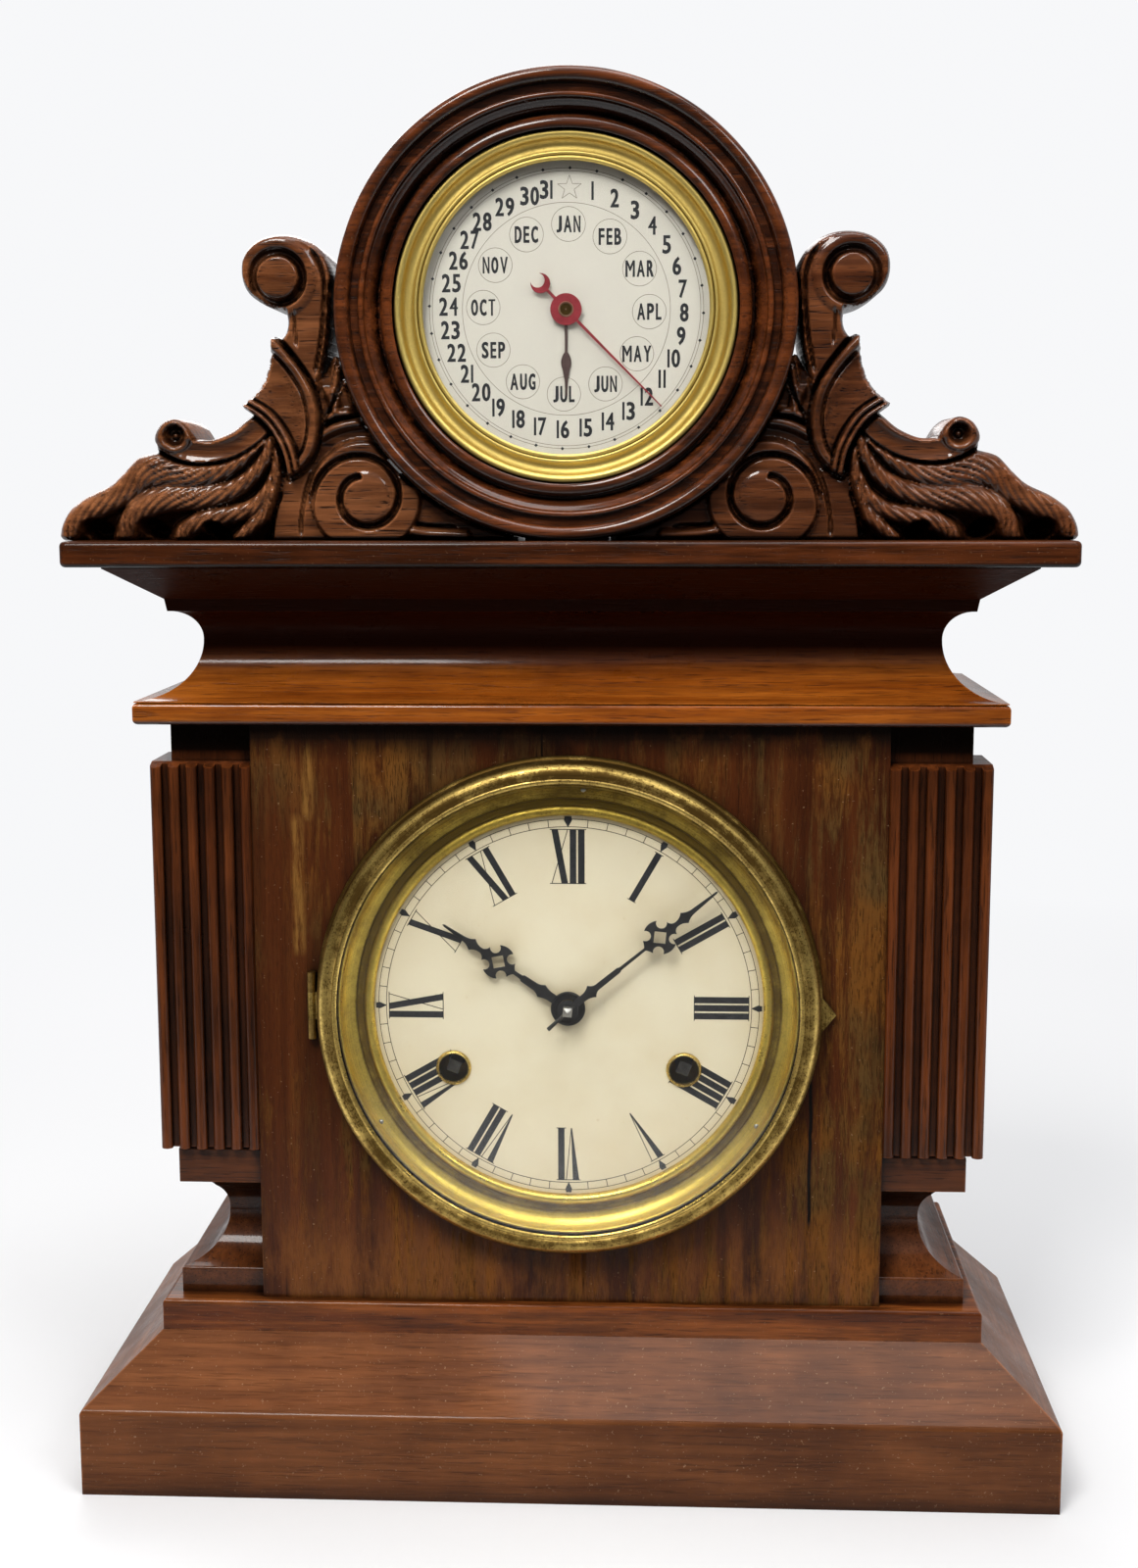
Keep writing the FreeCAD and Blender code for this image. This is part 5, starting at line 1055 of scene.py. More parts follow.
# %% [markdown]
# ## Spun and cast brass
# Three brass rings frame the dials: the pan that is spun over a former and pinned over the edge of the
# time dial, the heavier cast rim of its glazed door, and the rim of the calendar glass. All three are
# turned sections. Their skins differ band by band, as a cloth reaches the beads and never the grooves,
# so the finish reads the distance from the axis. Above the axis each is also made duller and browner,
# as painted shade under the top of the rim.

# %% Brass that changes band by band
def banded_brass(name, centre_z, bands, bright_tone, dull_tone, roughness=0.24, mottle=0.5, pits=0.25,
                 painted_shade_at_top=0.0, turned_marks=0.12):
    """bands is a list of (radius in mm, dullness): between them the dullness runs smoothly."""
    f = Finish(name, {"Metallic": 1.0})
    parts = axes(f.tree, f.plain)
    up = parts["Z"] - centre_z * MM
    radius = (parts["X"] * parts["X"] + up * up).root()
    first, last = bands[0][0], bands[-1][0]
    ramp = put(f.tree, "ValToRGB", {"Fac": radius.spread(first * MM, last * MM)})
    while len(ramp.color_ramp.elements) < len(bands):
        ramp.color_ramp.elements.new(0.5)
    for element, (at, dull) in zip(ramp.color_ramp.elements, bands):
        element.position = (at - first) / (last - first)
        element.color = (dull, dull, dull, 1.0)
    lathe = put(f.tree, "CombineXYZ", {"X": radius}).outputs[0]
    tool_marks = f.noise(lathe, 2200.0, 3.0, 0.6).spread(0.35, 0.65, -turned_marks, turned_marks)
    cloud = f.noise(f.plain, 70.0, 6.0, 0.72).spread(0.36, 0.64, -0.5, 0.5)
    pitting = f.noise(f.plain, 1300.0, 4.0, 0.7).spread(0.53, 0.62)
    dullness = Value(ramp.outputs["Color"]) + cloud * mottle + tool_marks + pitting * pits
    # painted shade: above the axis the brass turns duller and browner
    dullness = (dullness + up.spread(0.01, 0.08, 0.0, painted_shade_at_top)).spread(0.0, 1.0)
    f.start(dullness, bright_tone, dull_tone)
    f.leave(f.corners(0.0015, 0.25, 0.8), shaded(dull_tone, 0.2))
    return f.made({"Roughness": dullness.spread(0.0, 1.0, roughness, roughness + 0.34)},
                  tool_marks - pitting, 0.35, 0.00006)


pan_brass = banded_brass(
    "pan_brass", DIAL_Z, [(70.9, 0.05), (74.2, 0.20), (75.0, 0.95), (77.3, 0.90), (78.0, 0.36), (81.6, 0.30),
                          (82.4, 0.10), (83.6, 0.9)],
    colour(240, 208, 96), colour(110, 86, 26), 0.26, 0.35, 0.15, 0.55)
rim_brass = banded_brass(
    "rim_brass", DIAL_Z, [(83.6, 0.10), (85.1, 0.25), (85.8, 0.75), (88.2, 0.68), (89.0, 0.30), (90.0, 0.25),
                          (90.9, 0.80), (91.6, 0.90), (92.4, 0.75)],
    colour(228, 196, 112), colour(92, 70, 32), 0.24, 0.7, 0.45, 0.25)
calendar_brass = banded_brass(
    "calendar_brass", CAL_Z, [(49.2, 0.0), (52.2, 0.05), (52.8, 0.22), (55.6, 0.16), (56.4, 0.0), (58.4, 0.08),
                              (59.2, 0.5)],
    colour(230, 204, 118), colour(124, 100, 48), 0.44, 0.16, 0.08, 0.2, 0.03)

# %% Pan of the time dial
PANEL_Y = -41.4
PAN_SECTION = section(
    (70.9, -42.4), (70.9, -43.5), ((72.8, -45.1), (74.7, -43.8)), (75.1, -43.5), (77.2, -43.8), (77.5, -44.8),
    ((80.7, -46.3), (82.6, -49.4)), ((83.1, -49.7), (83.6, -49.4), 4),
    (83.6, PANEL_Y), (82.6, PANEL_Y), (82.6, -47.4), (80.4, -45.2), (78.2, -43.4), (77.0, -42.4))
bm = turn_profile(PAN_SECTION, DIAL_X, DIAL_Z, 288)
make_piece(bm, "spun_pan", pan_brass, "case", 50.0, ("dial_pan",))

bm = bmesh.new()
for turn in (4, 122, 238):
    u, v = around(81.0, math.radians(turn))
    made = bmesh.ops.create_uvsphere(bm, u_segments=16, v_segments=8, radius=0.95)["verts"]
    bmesh.ops.scale(bm, vec=(1.0, 0.6, 1.0), verts=made)
    bmesh.ops.translate(bm, vec=(DIAL_X + u, -46.6, DIAL_Z + v), verts=made)
make_piece(bm, "pan_pins", plain_steel, "case", 60.0)

# %% Rim of the glazed door
RIM_R, RIM_REAR, HINGE_X, HINGE_Y = 92.4, PANEL_Y - 0.3, -94.0, -43.6
RIM_SECTION = section(
    (RIM_R, RIM_REAR), (RIM_R, -43.6), (91.9, -44.3), (91.3, -44.6), (91.2, -46.0), (91.2, -48.6),
    ((90.2, -52.0), (87.2, -53.6), 12), ((86.2, -53.5), (85.4, -52.9), 4), ((84.5, -53.2), (83.6, -52.7), 6),
    (83.6, -52.3), (85.6, -52.3), (85.6, -51.0), (84.8, -50.8), (84.8, -49.4), (87.0, -48.0), (88.6, RIM_REAR))
bm = turn_profile(RIM_SECTION, DIAL_X, DIAL_Z, 288)
for v in bm.verts:                          # a flat for the hinge is filed on the left
    if abs(v.co.z - DIAL_Z) < 13.0 and v.co.x < 0:
        v.co.x = max(v.co.x, HINGE_X + 1.95)
tab = [bm.verts.new((DIAL_X + 92.0 + u, RIM_REAR, DIAL_Z + v)) for u, v in ((0, -8.4), (5.1, -2.0), (0, 4.4))]
pull(bm, [bm.faces.new(tab)], -2.2)
rod(bm, 1.6, 10.0, (HINGE_X, HINGE_Y, DIAL_Z))
block(bm, (4.0, 1.6, 10.0), (HINGE_X + 2.2, HINGE_Y, DIAL_Z))
bmesh.ops.recalc_face_normals(bm, faces=bm.faces)
make_piece(bm, "door_rim", rim_brass, "dial_door", 40.0, ("dial_bezel",))

# %% Rim of the calendar
SEAT_Y = -46.5
CALENDAR_SECTION = section(
    (59.2, SEAT_Y), (59.2, -52.9), ((58.8, -54.2), (57.7, -54.6), 6), ((56.8, -54.2), (56.2, -53.0), 6),
    ((54.3, -51.3), (52.4, -51.9), 10), ((51.6, -52.8), (50.9, -52.2), 8), ((50.1, -52.9), (49.2, -52.3), 8),
    (49.2, -51.7), (50.4, -51.7), (50.4, -50.2), (51.6, -50.0), (51.6, SEAT_Y - 1.4), (53.0, SEAT_Y))
bm = turn_profile(CALENDAR_SECTION, CAL_X, CAL_Z, 240)
make_piece(bm, "calendar_rim", calendar_brass, "case", 40.0, ("calendar_bezel",))

# %% Domed glass and flat glass
def pane_section(edge, front, back, dome, count=24):
    """Two shallow arcs from the axis to the edge."""
    outer = [(edge * i / count, front - dome * (1 - (i / count) ** 2)) for i in range(count + 1)]
    return outer + [(r, y + back - front) for r, y in reversed(outer)]


bm = turn_profile(pane_section(85.4, -52.2, -51.0, 2.4), DIAL_X, DIAL_Z, 144)
make_piece(bm, "domed_glass", glass, "dial_door", 40.0, ("dial_glass",))
bm = turn_profile(pane_section(50.3, -51.5, -50.3, 0.0, 2), CAL_X, CAL_Z, 144)
make_piece(bm, "flat_glass", glass, "case", 40.0, ("calendar_glass",))

# %% Winding grommets
GROMMET_SECTION = [(5.3, -41.4), (5.3, -42.9), (5.5, -43.15), (5.9, -43.2), (6.3, -42.9), (6.5, -42.4),
                   (5.8, -42.4), (5.8, -41.4)]
bm = bmesh.new()
for side in (-1, 1):
    half = turn_profile(GROMMET_SECTION, DIAL_X + side * WINDING_X, DIAL_Z - WINDING_DROP, 72)
    mesh = bpy.data.meshes.new("grommet")
    half.to_mesh(mesh)
    half.free()
    bm.from_mesh(mesh)
    bpy.data.meshes.remove(mesh)
make_piece(bm, "grommet_pair", bright_brass, "case", 40.0, ("winding_grommets",))

# %% [markdown]
# ## Screws
# Small slotted screws hold the hinge leaves and the brass cover behind the calendar. A real head is turned
# and then sawn across. Here each head is a thin disc with two half rounds on it that leave the slot
# open between them, which gives the same shape without a cut.

# %% Slotted screws
SLOT_SHARE, ARC_STEPS = 0.16, 14            # half the slot's width in radii, and the steps of a half round


def screw_head(bm, x, y, z, radius, rise, turn):
    """A slotted head that faces the back, standing on the surface at y."""
    disc = rod(bm, radius, rise / 2)
    bmesh.ops.rotate(bm, verts=disc, cent=(0, 0, 0), matrix=Matrix.Rotation(math.radians(90), 3, "X"))
    bmesh.ops.translate(bm, verts=disc, vec=(x, y + rise / 4, z))
    slot = radius * SLOT_SHARE
    first = math.asin(SLOT_SHARE)
    for half in (0.0, math.pi):
        cut = math.copysign(slot, math.cos(half))
        arc = [half + first + (math.pi - 2 * first) * i / ARC_STEPS for i in range(ARC_STEPS + 1)]
        rows = []
        for level, size in ((0.3, 1.0), (0.7, 0.94), (1.0, 0.72)):
            ring = [(radius * math.cos(a) * size, cut + (radius * math.sin(a) - cut) * size) for a in arc]
            rows.append([bm.verts.new((x + u * math.cos(turn) - v * math.sin(turn), y + rise * level,
                                       z + u * math.sin(turn) + v * math.cos(turn))) for u, v in ring])
        for lower, upper in zip(rows, rows[1:]):
            for i in range(len(lower)):
                j = (i + 1) % len(lower)
                bm.faces.new((lower[i], lower[j], upper[j], upper[i]))
        bm.faces.new(rows[0])
        bm.faces.new(rows[-1])


def screws(name, places, radius, rise, finish, body):
    bm = bmesh.new()
    for number, (x, y, z) in enumerate(places):
        screw_head(bm, x, y, z, radius, rise, 0.4 + 1.9 * number)
    bmesh.ops.recalc_face_normals(bm, faces=bm.faces)
    return make_piece(bm, name, finish, body, 40.0)


HINGE_HEIGHTS = [z + step for z in (118.0, 234.0) for step in (-7.5, 7.5)]
for name, x, y, body in (("hinge_plate_screws", 103.0, 65.2, "case"),
                         ("hinge_leaf_screws", 84.0, 68.8, "rear_door")):
    screws(name, [(x, y, z) for z in HINGE_HEIGHTS], 1.9, 0.6, works_brass, body)
cover_low, cover_high = box_of("calendar_back_plate")
reach = (cover_high.x - cover_low.x) / 2 - 5.0
around_cover = [(CAL_X + reach * math.cos(a), cover_high.y, CAL_Z + reach * math.sin(a))
                for a in map(math.radians, (45, 135, 225, 315))]
screws("cover_screws", around_cover, 2.0, 0.7, plain_steel, "case")
print("cover back", round(cover_high.y, 2))

# %% [markdown]
# ## The carved ears
# Each ear is sawn from a board to its outline, and the front is then carved to a depth of some ten
# millimetres: a scrolled head with a raised button, a hollow shield, an arm that ends in a curl, twisted
# strands of leaf, and a volute beside the ring. A carver works down from the flat front with gouges, and
# so does this code. It starts from a fine grid trimmed to the outline, and every gouge stroke is a curve:
# the depth at a point follows from its distance to that curve.

# %% Tools for carving
CARVE_STEP = 0.45
EAR_FIELD, EAR_BACK, EAR_LIMIT = -50.0, -20.0, -55.9


def spline(points, steps=10):
    """A smooth line through the points (Catmull-Rom), as an array."""
    p = np.array(points, float)
    p = np.vstack([2 * p[0] - p[1], p, 2 * p[-1] - p[-2]])
    t = np.linspace(0, 1, steps, endpoint=False)[:, None]
    runs = []
    for a, b, c, d in zip(p, p[1:], p[2:], p[3:]):
        runs.append(0.5 * (2 * b + (c - a) * t + (2 * a - 5 * b + 4 * c - d) * t ** 2
                           + (3 * b - a - 3 * c + d) * t ** 3))
    return np.vstack(runs + [p[-2:-1]])


def follow(spots, line):
    """Distance of each spot from a line, how far along the line it is, and its side."""
    start, run = line[:-1], np.diff(line, axis=0)
    length = np.maximum(np.hypot(run[:, 0], run[:, 1]), 1e-9)
    rel = spots[:, None, :] - start[None]
    share = np.clip((rel * run).sum(2) / length ** 2, 0, 1)
    gap = rel - share[..., None] * run
    distance = np.hypot(gap[..., 0], gap[..., 1])
    best = distance.argmin(1)
    rows = np.arange(len(spots))
    passed = np.concatenate([[0], np.cumsum(length)])[best] + share[rows, best] * length[best]
    side = np.sign(run[best, 0] * rel[rows, best, 1] - run[best, 1] * rel[rows, best, 0])
    return distance[rows, best], passed, side


def depth_inside(spots, outline):
    """Distance from the outline: positive inside, negative outside."""
    closed = np.vstack([outline, outline[:1]])
    distance = follow(spots, closed)[0]
    inside = np.zeros(len(spots), bool)
    for (ax, az), (bx, bz) in zip(closed, closed[1:]):
        if az != bz:
            crosses = (az > spots[:, 1]) != (bz > spots[:, 1])
            inside ^= crosses & (spots[:, 0] < (bx - ax) * (spots[:, 1] - az) / (bz - az) + ax)
    return np.where(inside, distance, -distance)


def rounded(depth, width):
    """0 at an edge, rising in a quarter circle to 1 at width inside it."""
    share = np.clip(depth / width, 0, 1)
    return np.sqrt(1 - (1 - share) ** 2)


def hump(share):
    """1 where share is 0, falling in a parabola to 0 where it is 1 or -1."""
    return np.clip(1 - share ** 2, 0, 1)


def gouge(height, spots, points, half_width, deep, fade=3.0):
    """A groove with a round bottom along a smooth line, running out at both ends. A negative depth leaves
    a rounded ridge."""
    line = spline(points)
    distance, passed, _ = follow(spots, line)
    total = np.hypot(*np.diff(line, axis=0).T).sum()
    ends = np.clip(np.minimum(passed, total - passed) / fade, 0.15, 1)
    return height - deep * ends * hump(distance / (half_width * ends))


def carve(height, spots, strokes):
    """Gouge strokes one after another."""
    for stroke_of_gouge in strokes:
        height = gouge(height, spots, *stroke_of_gouge)
    return height


def outline(*runs):
    """A closed line of smooth runs that meet at corners."""
    return np.vstack([spline(run)[:-1] for run in runs])


# %% Outline of the ear
RING_CLEAR, FOOT_X, ROOT_Z = 79.15, 14.0, 413.0
ring_low = RING_AXIS_Z - math.sqrt(RING_CLEAR ** 2 - FOOT_X ** 2)
ring_start = (math.sqrt(RING_CLEAR ** 2 - (ROOT_Z - RING_AXIS_Z) ** 2) + 0.4, ROOT_Z)
ring_edge = [(RING_CLEAR * math.cos(a), RING_AXIS_Z + RING_CLEAR * math.sin(a))
             for a in np.radians(np.linspace(-12, -79, 50))]
SHIELD_SIDE = [(111.9, 394.2), (107.0, 398.2), (103.6, 402.6), (101.6, 407.9), (100.9, 412.8),
               (100.6, 417.4)]
SHIELD_TIP = [(100.6, 417.4), (99.3, 418.2)]
HEAD_CURL = [(95.0, 426.2), (102.0, 428.4), (108.2, 433.0), (110.4, 439.6), (109.0, 446.2), (103.6, 450.8),
             (96.0, 452.3), (88.5, 450.9), (82.0, 446.2), (78.6, 439.0), (79.4, 431.5)]
ear_line = np.vstack([outline(
    [(x, TOP_BOARD_Z) for x in (FOOT_X, 30.0, 60.0, 100.0, 140.0, 175.2)],
    [(175.2, 348.0), (176.3, 350.2), (175.2, 354.6), (172.0, 359.2), (166.0, 363.4), (158.0, 367.2),
     (152.8, 371.8), (148.0, 376.6), (141.6, 378.6)],
    [(141.6, 378.6), (141.6, 384.0), (139.0, 388.2), (134.3, 389.9), (130.2, 387.4), (127.2, 382.9)],
    [(127.2, 382.9), (121.0, 382.9), (114.5, 385.6), (110.2, 388.9), (107.9, 391.4)],
    [(107.9, 391.4), (111.9, 394.2)],
    SHIELD_SIDE, SHIELD_TIP,
    [(99.3, 418.2), (96.8, 417.2), (95.3, 419.4), (94.6, 422.6), (95.0, 426.2)],
    HEAD_CURL,
    [(79.4, 431.5), (79.8, 424.4), (80.6, 415.0), (82.6, 407.0), (84.2, 402.5)],
    [(84.2, 402.5), ring_start]), ring_edge, [(FOOT_X, ring_low)]])

# %% Drawing of the carving
SHIELD_RIGHT = [(99.3, 418.2), (94.6, 412.6), (89.4, 406.0), (85.4, 398.0), (84.0, 388.0), (86.2, 378.0),
                (91.0, 372.0), (95.2, 369.6)]
SHIELD_LEFT = [(95.2, 369.6), (97.4, 379.0), (103.0, 388.2), (111.9, 394.2)]
SHIELD = outline(SHIELD_RIGHT, SHIELD_LEFT, SHIELD_SIDE, SHIELD_TIP)
SHIELD_SCOOP = [(102.0, 412.0), (98.0, 400.0), (95.0, 389.0), (94.2, 379.0)]
HEAD = outline(HEAD_CURL + [(79.8, 424.4), (80.6, 415.0), (82.6, 407.0), (84.6, 399.0)],
               [(84.6, 399.0), (88.0, 405.0), (93.0, 412.0), (97.2, 417.0)],
               [(97.2, 417.0), (95.3, 419.4), (94.6, 422.6), (95.0, 426.2)])
ARM = outline([(100.0, 386.5), (106.0, 381.2), (113.0, 377.0), (121.0, 374.8), (129.0, 374.6), (136.0, 376.6),
               (141.0, 380.2), (142.4, 384.0), (140.4, 388.6), (134.3, 390.6), (129.6, 387.8), (127.2, 382.9)],
              [(127.2, 382.9), (121.0, 383.3), (114.5, 386.0), (110.2, 389.3), (107.0, 391.8)],
              [(107.0, 391.8), (103.0, 389.0), (100.0, 386.5)])
ARM_HOLLOW = [(103.0, 387.0), (112.0, 380.6), (122.0, 378.6), (130.0, 379.2)]
ARM_EYE, BUTTON, VOLUTE = (134.6, 384.2), (97.4, 437.6), (68.5, 362.8)
STRANDS = (                                 # the middle line of each strand, and its half widths
    ([(103.0, 386.0), (107.5, 380.0), (114.0, 374.6), (122.0, 371.2), (131.0, 370.6), (140.0, 372.4),
      (147.0, 371.4), (152.6, 366.6), (159.0, 362.2), (166.5, 358.6), (172.0, 354.0), (174.6, 349.0)],
     [2.0, 2.6, 3.4, 4.2, 5.4, 6.6, 6.4, 5.6, 5.0, 5.0, 4.6, 4.0]),
    ([(100.5, 383.0), (103.5, 376.0), (109.0, 369.4), (117.0, 364.8), (127.0, 362.8), (137.0, 362.6),
      (145.0, 360.4), (151.0, 355.6), (153.6, 349.0)],
     [1.8, 2.6, 3.2, 3.8, 4.6, 5.2, 5.0, 4.2, 3.4]),
    ([(98.6, 379.0), (100.0, 371.0), (103.6, 363.6), (109.6, 358.6), (118.0, 356.4), (126.0, 354.8),
      (131.6, 351.6), (133.6, 348.0)],
     [1.6, 2.2, 2.8, 3.2, 3.6, 3.8, 3.4, 3.0]),
    ([(98.4, 371.0), (100.8, 363.4), (104.6, 356.4), (109.4, 352.0), (113.0, 348.5)],
     [1.2, 2.0, 2.6, 2.8, 2.6]),
)
LEAF_MASS = np.array([(101.4, 347.0), (101.6, 356.0), (98.4, 366.0), (96.0, 374.0), (99.0, 384.0),
                      (101.6, 386.6), (107.0, 381.6), (113.5, 377.6), (121.0, 375.4), (129.0, 375.2),
                      (136.0, 377.0), (141.4, 379.4), (148.6, 377.6), (153.6, 372.4), (159.0, 367.6),
                      (167.0, 364.0), (173.4, 359.6), (176.8, 354.0), (178.0, 347.0)])
POCKETS = (((164.0, 351.4), 4.6, 3.8, 0.25), ((144.0, 352.0), 4.4, 3.2, 0.5),
           ((121.6, 351.4), 4.0, 2.8, 0.45))

# Each stroke of the gouge is its line, half its width and its depth; a ridge has a negative depth.
LEAF_EDGE = [([(101.8, 347.5), (101.6, 353.0), (100.4, 359.0), (97.6, 366.0)], 0.9, 2.2)]
HEAD_CUTS = [([(86.5, 448.0), (83.2, 443.0), (81.4, 436.0), (81.8, 426.0), (83.0, 416.0), (85.4, 404.0)],
              0.9, 1.9),
             ([(91.6, 428.0), (91.8, 421.0), (91.0, 413.0)], 0.8, 1.1)]
VOLUTE_CUT = [([(91.6, 347.6), (91.4, 356.0), (89.0, 367.0), (84.6, 375.6), (78.0, 381.6)], 0.9, 1.4)]
VEINS = [([(91.0, 377.0), (85.0, 383.4), (76.0, 387.6), (66.0, 388.6), (58.0, 386.0)], 2.4, -3.4),
         ([(84.0, 389.0), (78.0, 391.6), (71.0, 392.0)], 1.8, -2.6),
         ([(83.0, 401.0), (79.6, 397.0), (78.4, 391.0)], 2.6, -2.8),
         ([(77.4, 411.0), (78.4, 403.0), (77.6, 396.0)], 2.2, -2.4),
         ([(80.6, 399.0), (79.0, 404.0), (77.2, 411.5)], 0.6, 1.4),
         ([(84.0, 388.0), (80.0, 394.0), (77.0, 401.0), (75.6, 408.0)], 0.7, 2.6),
         ([(84.6, 386.0), (78.0, 389.6), (70.0, 390.4), (64.0, 389.0)], 0.7, 2.6)]
FOOT_SWEEP = [([(56.0, 352.0), (48.0, 350.4), (40.0, 350.0), (31.0, 349.6)], 2.4, -2.6, 2.0),
              ([(57.0, 355.6), (50.0, 353.4), (42.0, 352.8), (36.0, 352.6)], 0.8, 2.2)]


# %% Carving the ear
def leaf_strands(spots):
    """Height of the twisted leaf strands: each is a rope with slanting hair lines."""
    nearest = np.full(len(spots), 9.0)
    height = np.zeros(len(spots))
    for points, widths in STRANDS:
        line = spline(points)
        distance, passed, side = follow(spots, line)
        knots = np.concatenate([[0], np.cumsum(np.hypot(*np.diff(line, axis=0).T))])[::10]
        ratio = distance / np.interp(passed, knots, widths)
        offset = side * distance
        crest = 4.6 * np.sqrt(np.clip(1 - 0.9 * ratio ** 2, 0, 1)) - 0.4
        twist = (passed + 2.1 * offset) / 5.2
        hair = np.abs(twist - np.round(twist)) * 2
        crest -= 0.95 * (1 - np.clip(hair / 0.5, 0, 1)) * np.clip(1.15 - ratio, 0, 1)
        fine = (passed * 0.55 + 2.4 * offset) / 1.5
        crest -= 0.16 * (1 + np.cos(math.tau * fine)) * np.clip(1.1 - ratio, 0, 1)
        crest -= np.clip(ratio - 0.9, 0, 1.2) * 5.0
        height = np.where(ratio < nearest, crest, height)
        nearest = np.minimum(ratio, nearest)
    return height


def arm_relief(spots):
    """The arm is hollowed along its middle and ends in an eye."""
    eye = np.hypot(*(spots - ARM_EYE).T)
    height = 3.8 - 1.4 * hump(follow(spots, spline(ARM_HOLLOW))[0] / 4.0)
    return height - 4.2 * hump((eye / 3.6) ** 2) + hump((eye - 4.9) / 1.3) + 2.2 * hump(eye / 1.6)


def head_relief(spots):
    """The scrolled head: a raised rim, a groove deeper towards the lower left, and a domed button."""
    across, up = (spots - BUTTON).T
    button = np.hypot(across, up)
    lean_in = 0.5 + 0.5 * np.cos(np.arctan2(up, across) - math.radians(215))
    height = 3.2 + 0.9 * hump((button - 11.4) / 2.6)
    height -= (1.6 + 2.2 * lean_in) * hump((button - 8.6) / 1.7)
    dome = 3.4 + 1.5 * np.sqrt(hump(button / 9.5))
    return np.where(button < 7.4, dome * rounded(7.6 - button, 0.9), height)


def shield_relief(spots):
    """The shield: a long hollow between a bead on its right edge and two on its left."""
    height = 5.0 - 3.0 * hump(follow(spots, spline(SHIELD_SCOOP))[0] / 8.5)
    right_edge = follow(spots, spline([(99.6, 417.6)] + SHIELD_RIGHT[1:]))[0]
    height = np.where(right_edge < 3.4, 4.0 + 1.5 * np.sqrt(hump((right_edge - 1.7) / 1.7)), height)
    height -= 1.5 * hump((right_edge - 3.9) / 0.7)
    left_edge = follow(spots, spline(SHIELD_LEFT[::-1]))[0]
    band = np.where(left_edge < 2.3, 4.2 + 1.4 * np.sqrt(hump((left_edge - 1.2) / 1.2)),
                    4.4 + 1.1 * np.sqrt(hump((left_edge - 3.4) / 1.1)))
    height = np.where(left_edge < 4.5, band, height)
    return height - 1.4 * hump((left_edge - 2.4) / 0.5) - 1.6 * hump((left_edge - 4.8) / 0.6)


def volute_relief(spots, reach):
    """A roll with a spiral groove of one lap and a third."""
    across, up = (spots - VOLUTE).T
    spin = (math.radians(80) - np.arctan2(up, across)) / math.tau
    spiral = np.full(len(spots), 9.0)
    for lap in (0, 1):
        share = (spin % 1.0) + lap
        radius = 7.4 + 5.6 * share + 1.6 * np.clip(share, 0, 1.35) ** 5
        spiral = np.minimum(spiral, np.where(share < 1.34, np.abs(reach - radius), 9.0))
    return 3.0 + 1.2 * np.sqrt(hump(reach / 9.0)) - 3.4 * hump(spiral / 1.35)


def ear_height(spots):
    """How far the carving stands in front of the field, in millimetres."""
    x, z = spots.T
    flat = np.zeros(len(spots))
    mass, arm, head, shield = (depth_inside(spots, shape) for shape in (LEAF_MASS, ARM, HEAD, SHIELD))

    height = np.where(mass > 0, leaf_strands(spots) * rounded(mass, 2.0) - 2.6 * (1 - rounded(mass, 1.6)), flat)
    for (px, pz), long, high, lean in POCKETS:
        u = (x - px) * math.cos(lean) + (z - pz) * math.sin(lean)
        v = -(x - px) * math.sin(lean) + (z - pz) * math.cos(lean)
        height -= 9.0 * np.clip(1.25 - (u / long) ** 2 - (v / high) ** 2, 0, 1)
    height = carve(height, spots, LEAF_EDGE)

    height = np.where(arm > 0, arm_relief(spots) * rounded(arm, 1.0) - 1.0 * (1 - rounded(arm, 0.8)), height)
    height = np.where((arm < 0) & (arm > -1.3) & (mass > 0), height - 2.4 * (1 + arm / 1.3), height)

    height = np.where(head > 0, head_relief(spots) * rounded(head, 1.4), height)
    height = np.where(head > 0, carve(height, spots, HEAD_CUTS), height)

    edge = rounded(shield, 0.9)
    height = np.where(shield > 0, shield_relief(spots) * edge + 0.6 * (1 - edge), height)
    height = np.where((shield < 0) & (shield > -1.6), height - 2.6 * (1 + shield / 1.6), height)

    reach = np.hypot(*(spots - VOLUTE).T)
    roll = rounded(19.8 - reach, 1.6)
    volute = volute_relief(spots, reach) * roll - 1.2 * (1 - roll)
    height = np.where((roll > 0) & (shield < -1.0) & (x < 91.0), volute, height)
    height = carve(height, spots, VOLUTE_CUT)

    leafy = (reach > 20.6) & (shield < -1.2) & (head < -0.6) & (x < 93.0) & (z > 372.0)
    height = np.where(leafy, carve(flat, spots, VEINS) - 1.0, height)
    height = np.where((x < 60.0) & (reach > 19.6), carve(flat, spots, FOOT_SWEEP), height)
    return height - 1.4 * (1 - rounded(depth_inside(spots, ear_line), 1.5))


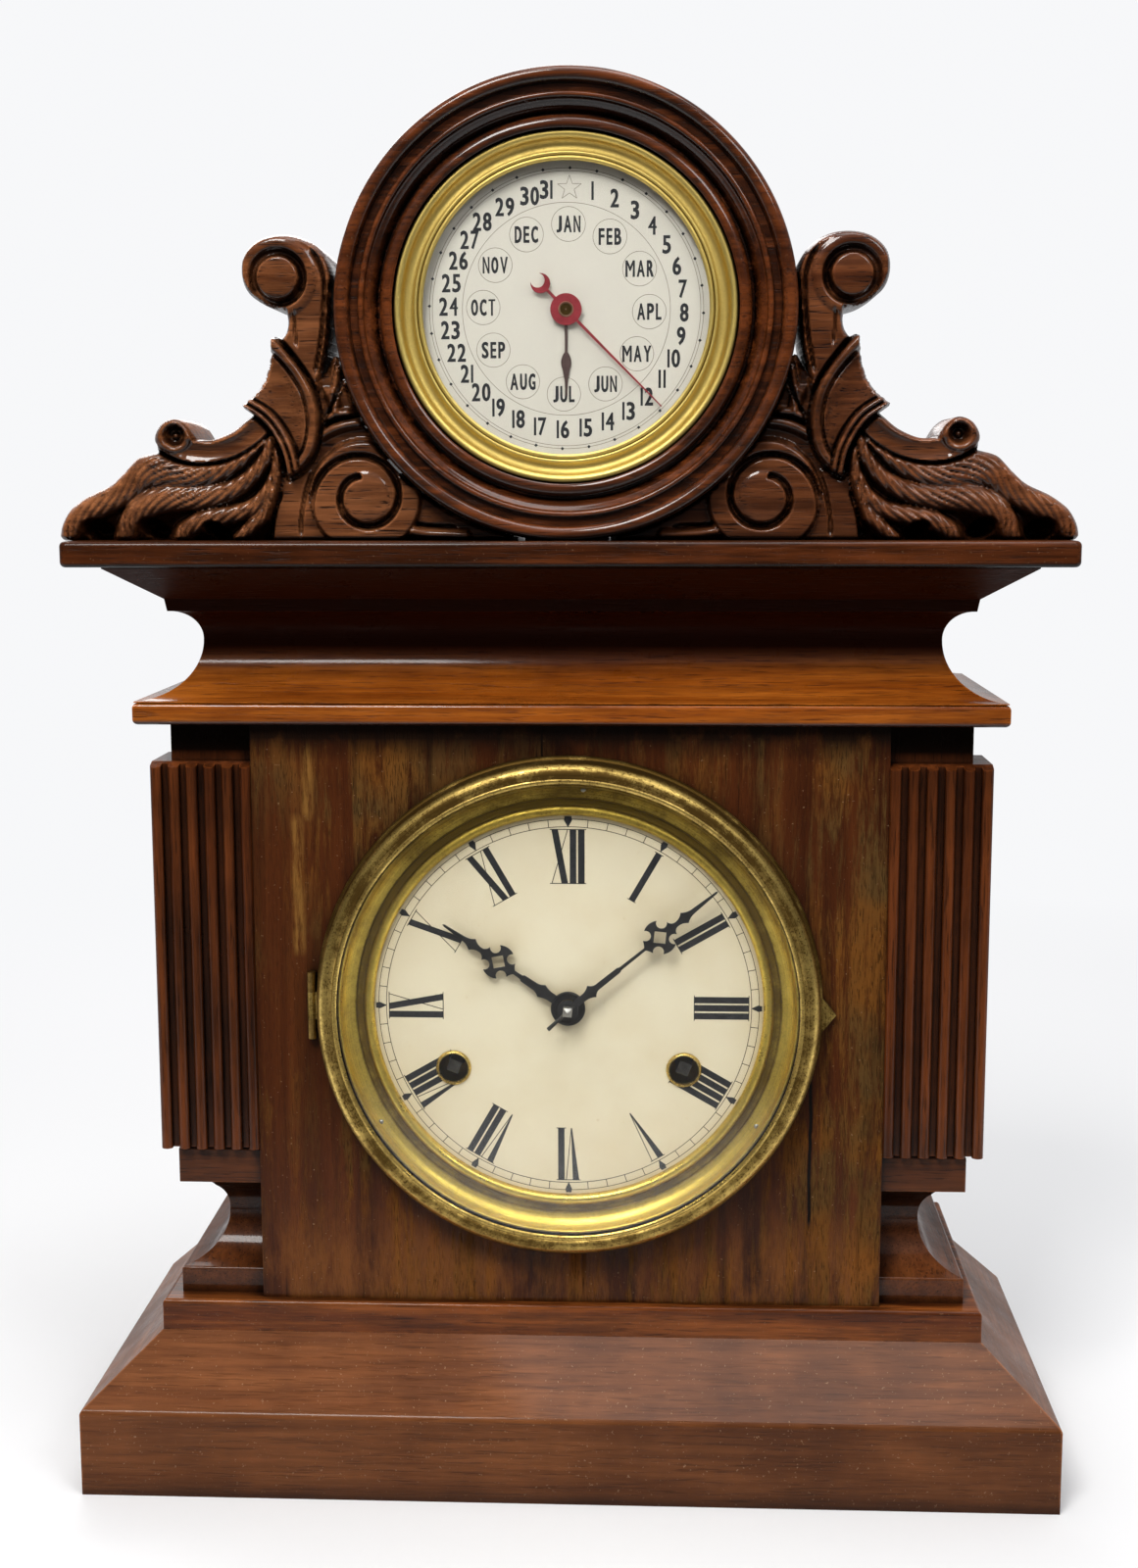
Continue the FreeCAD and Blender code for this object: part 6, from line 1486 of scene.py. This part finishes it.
def carve_ear(name, node, finish, flip, shift):
    low, high = ear_line.min(0), ear_line.max(0)
    cells = np.ceil((high - low) / CARVE_STEP).astype(int) + 2
    bm = bmesh.new()
    bmesh.ops.create_grid(bm, x_segments=int(cells[0]), y_segments=int(cells[1]), size=0.5)
    spots = np.array([v.co[:2] for v in bm.verts])
    spots = (spots - spots.min(0)) / (spots.max(0) - spots.min(0)) * cells * CARVE_STEP + low - CARVE_STEP
    inside = depth_inside(spots, ear_line)
    for v, spot in zip(bm.verts, spots):
        v.co = (spot[0], 0.0, spot[1])
    outside = [v for v, depth in zip(bm.verts, inside) if depth < CARVE_STEP * 0.25]
    bmesh.ops.delete(bm, geom=outside, context="VERTS")
    bmesh.ops.delete(bm, geom=[v for v in bm.verts if not v.link_faces], context="VERTS")

    closed = np.vstack([ear_line, ear_line[:1]])
    start, run = closed[:-1], np.diff(closed, axis=0)
    for v in bm.verts:
        if v.is_boundary:                   # the ragged rim moves onto the outline
            spot = np.array([v.co.x, v.co.z])
            share = np.clip(((spot - start) * run).sum(1) / np.maximum((run ** 2).sum(1), 1e-12), 0, 1)
            near = start + share[:, None] * run
            v.co.x, v.co.z = near[np.hypot(*(near - spot).T).argmin()]
    spots = np.array([(v.co.x, v.co.z) for v in bm.verts])
    for v, height in zip(bm.verts, ear_height(spots)):
        v.co.y = max(EAR_FIELD - height, EAR_LIMIT)
    bmesh.ops.smooth_vert(bm, verts=bm.verts, factor=0.35, use_axis_x=False, use_axis_y=True,
                          use_axis_z=False)

    wall = bmesh.ops.extrude_edge_only(bm, edges=[e for e in bm.edges if e.is_boundary])["geom"]
    for item in wall:
        if isinstance(item, bmesh.types.BMVert):
            item.co.y = EAR_BACK
    bmesh.ops.contextual_create(bm, geom=[e for e in bm.edges if e.is_boundary])
    for v in bm.verts:
        v.co.x = (v.co.x + shift) * (-1 if flip else 1)
    bmesh.ops.recalc_face_normals(bm, faces=bm.faces)
    piece = make_piece(bm, name, finish, "case", 60.0, (node,))
    print(name, len(piece.data.polygons), "faces")


carve_ear("ear_carving_right", "carved_ear_right", carving_in_shade, False, 0.0)
carve_ear("ear_carving_left", "carved_ear_left", carving, True, 1.6)
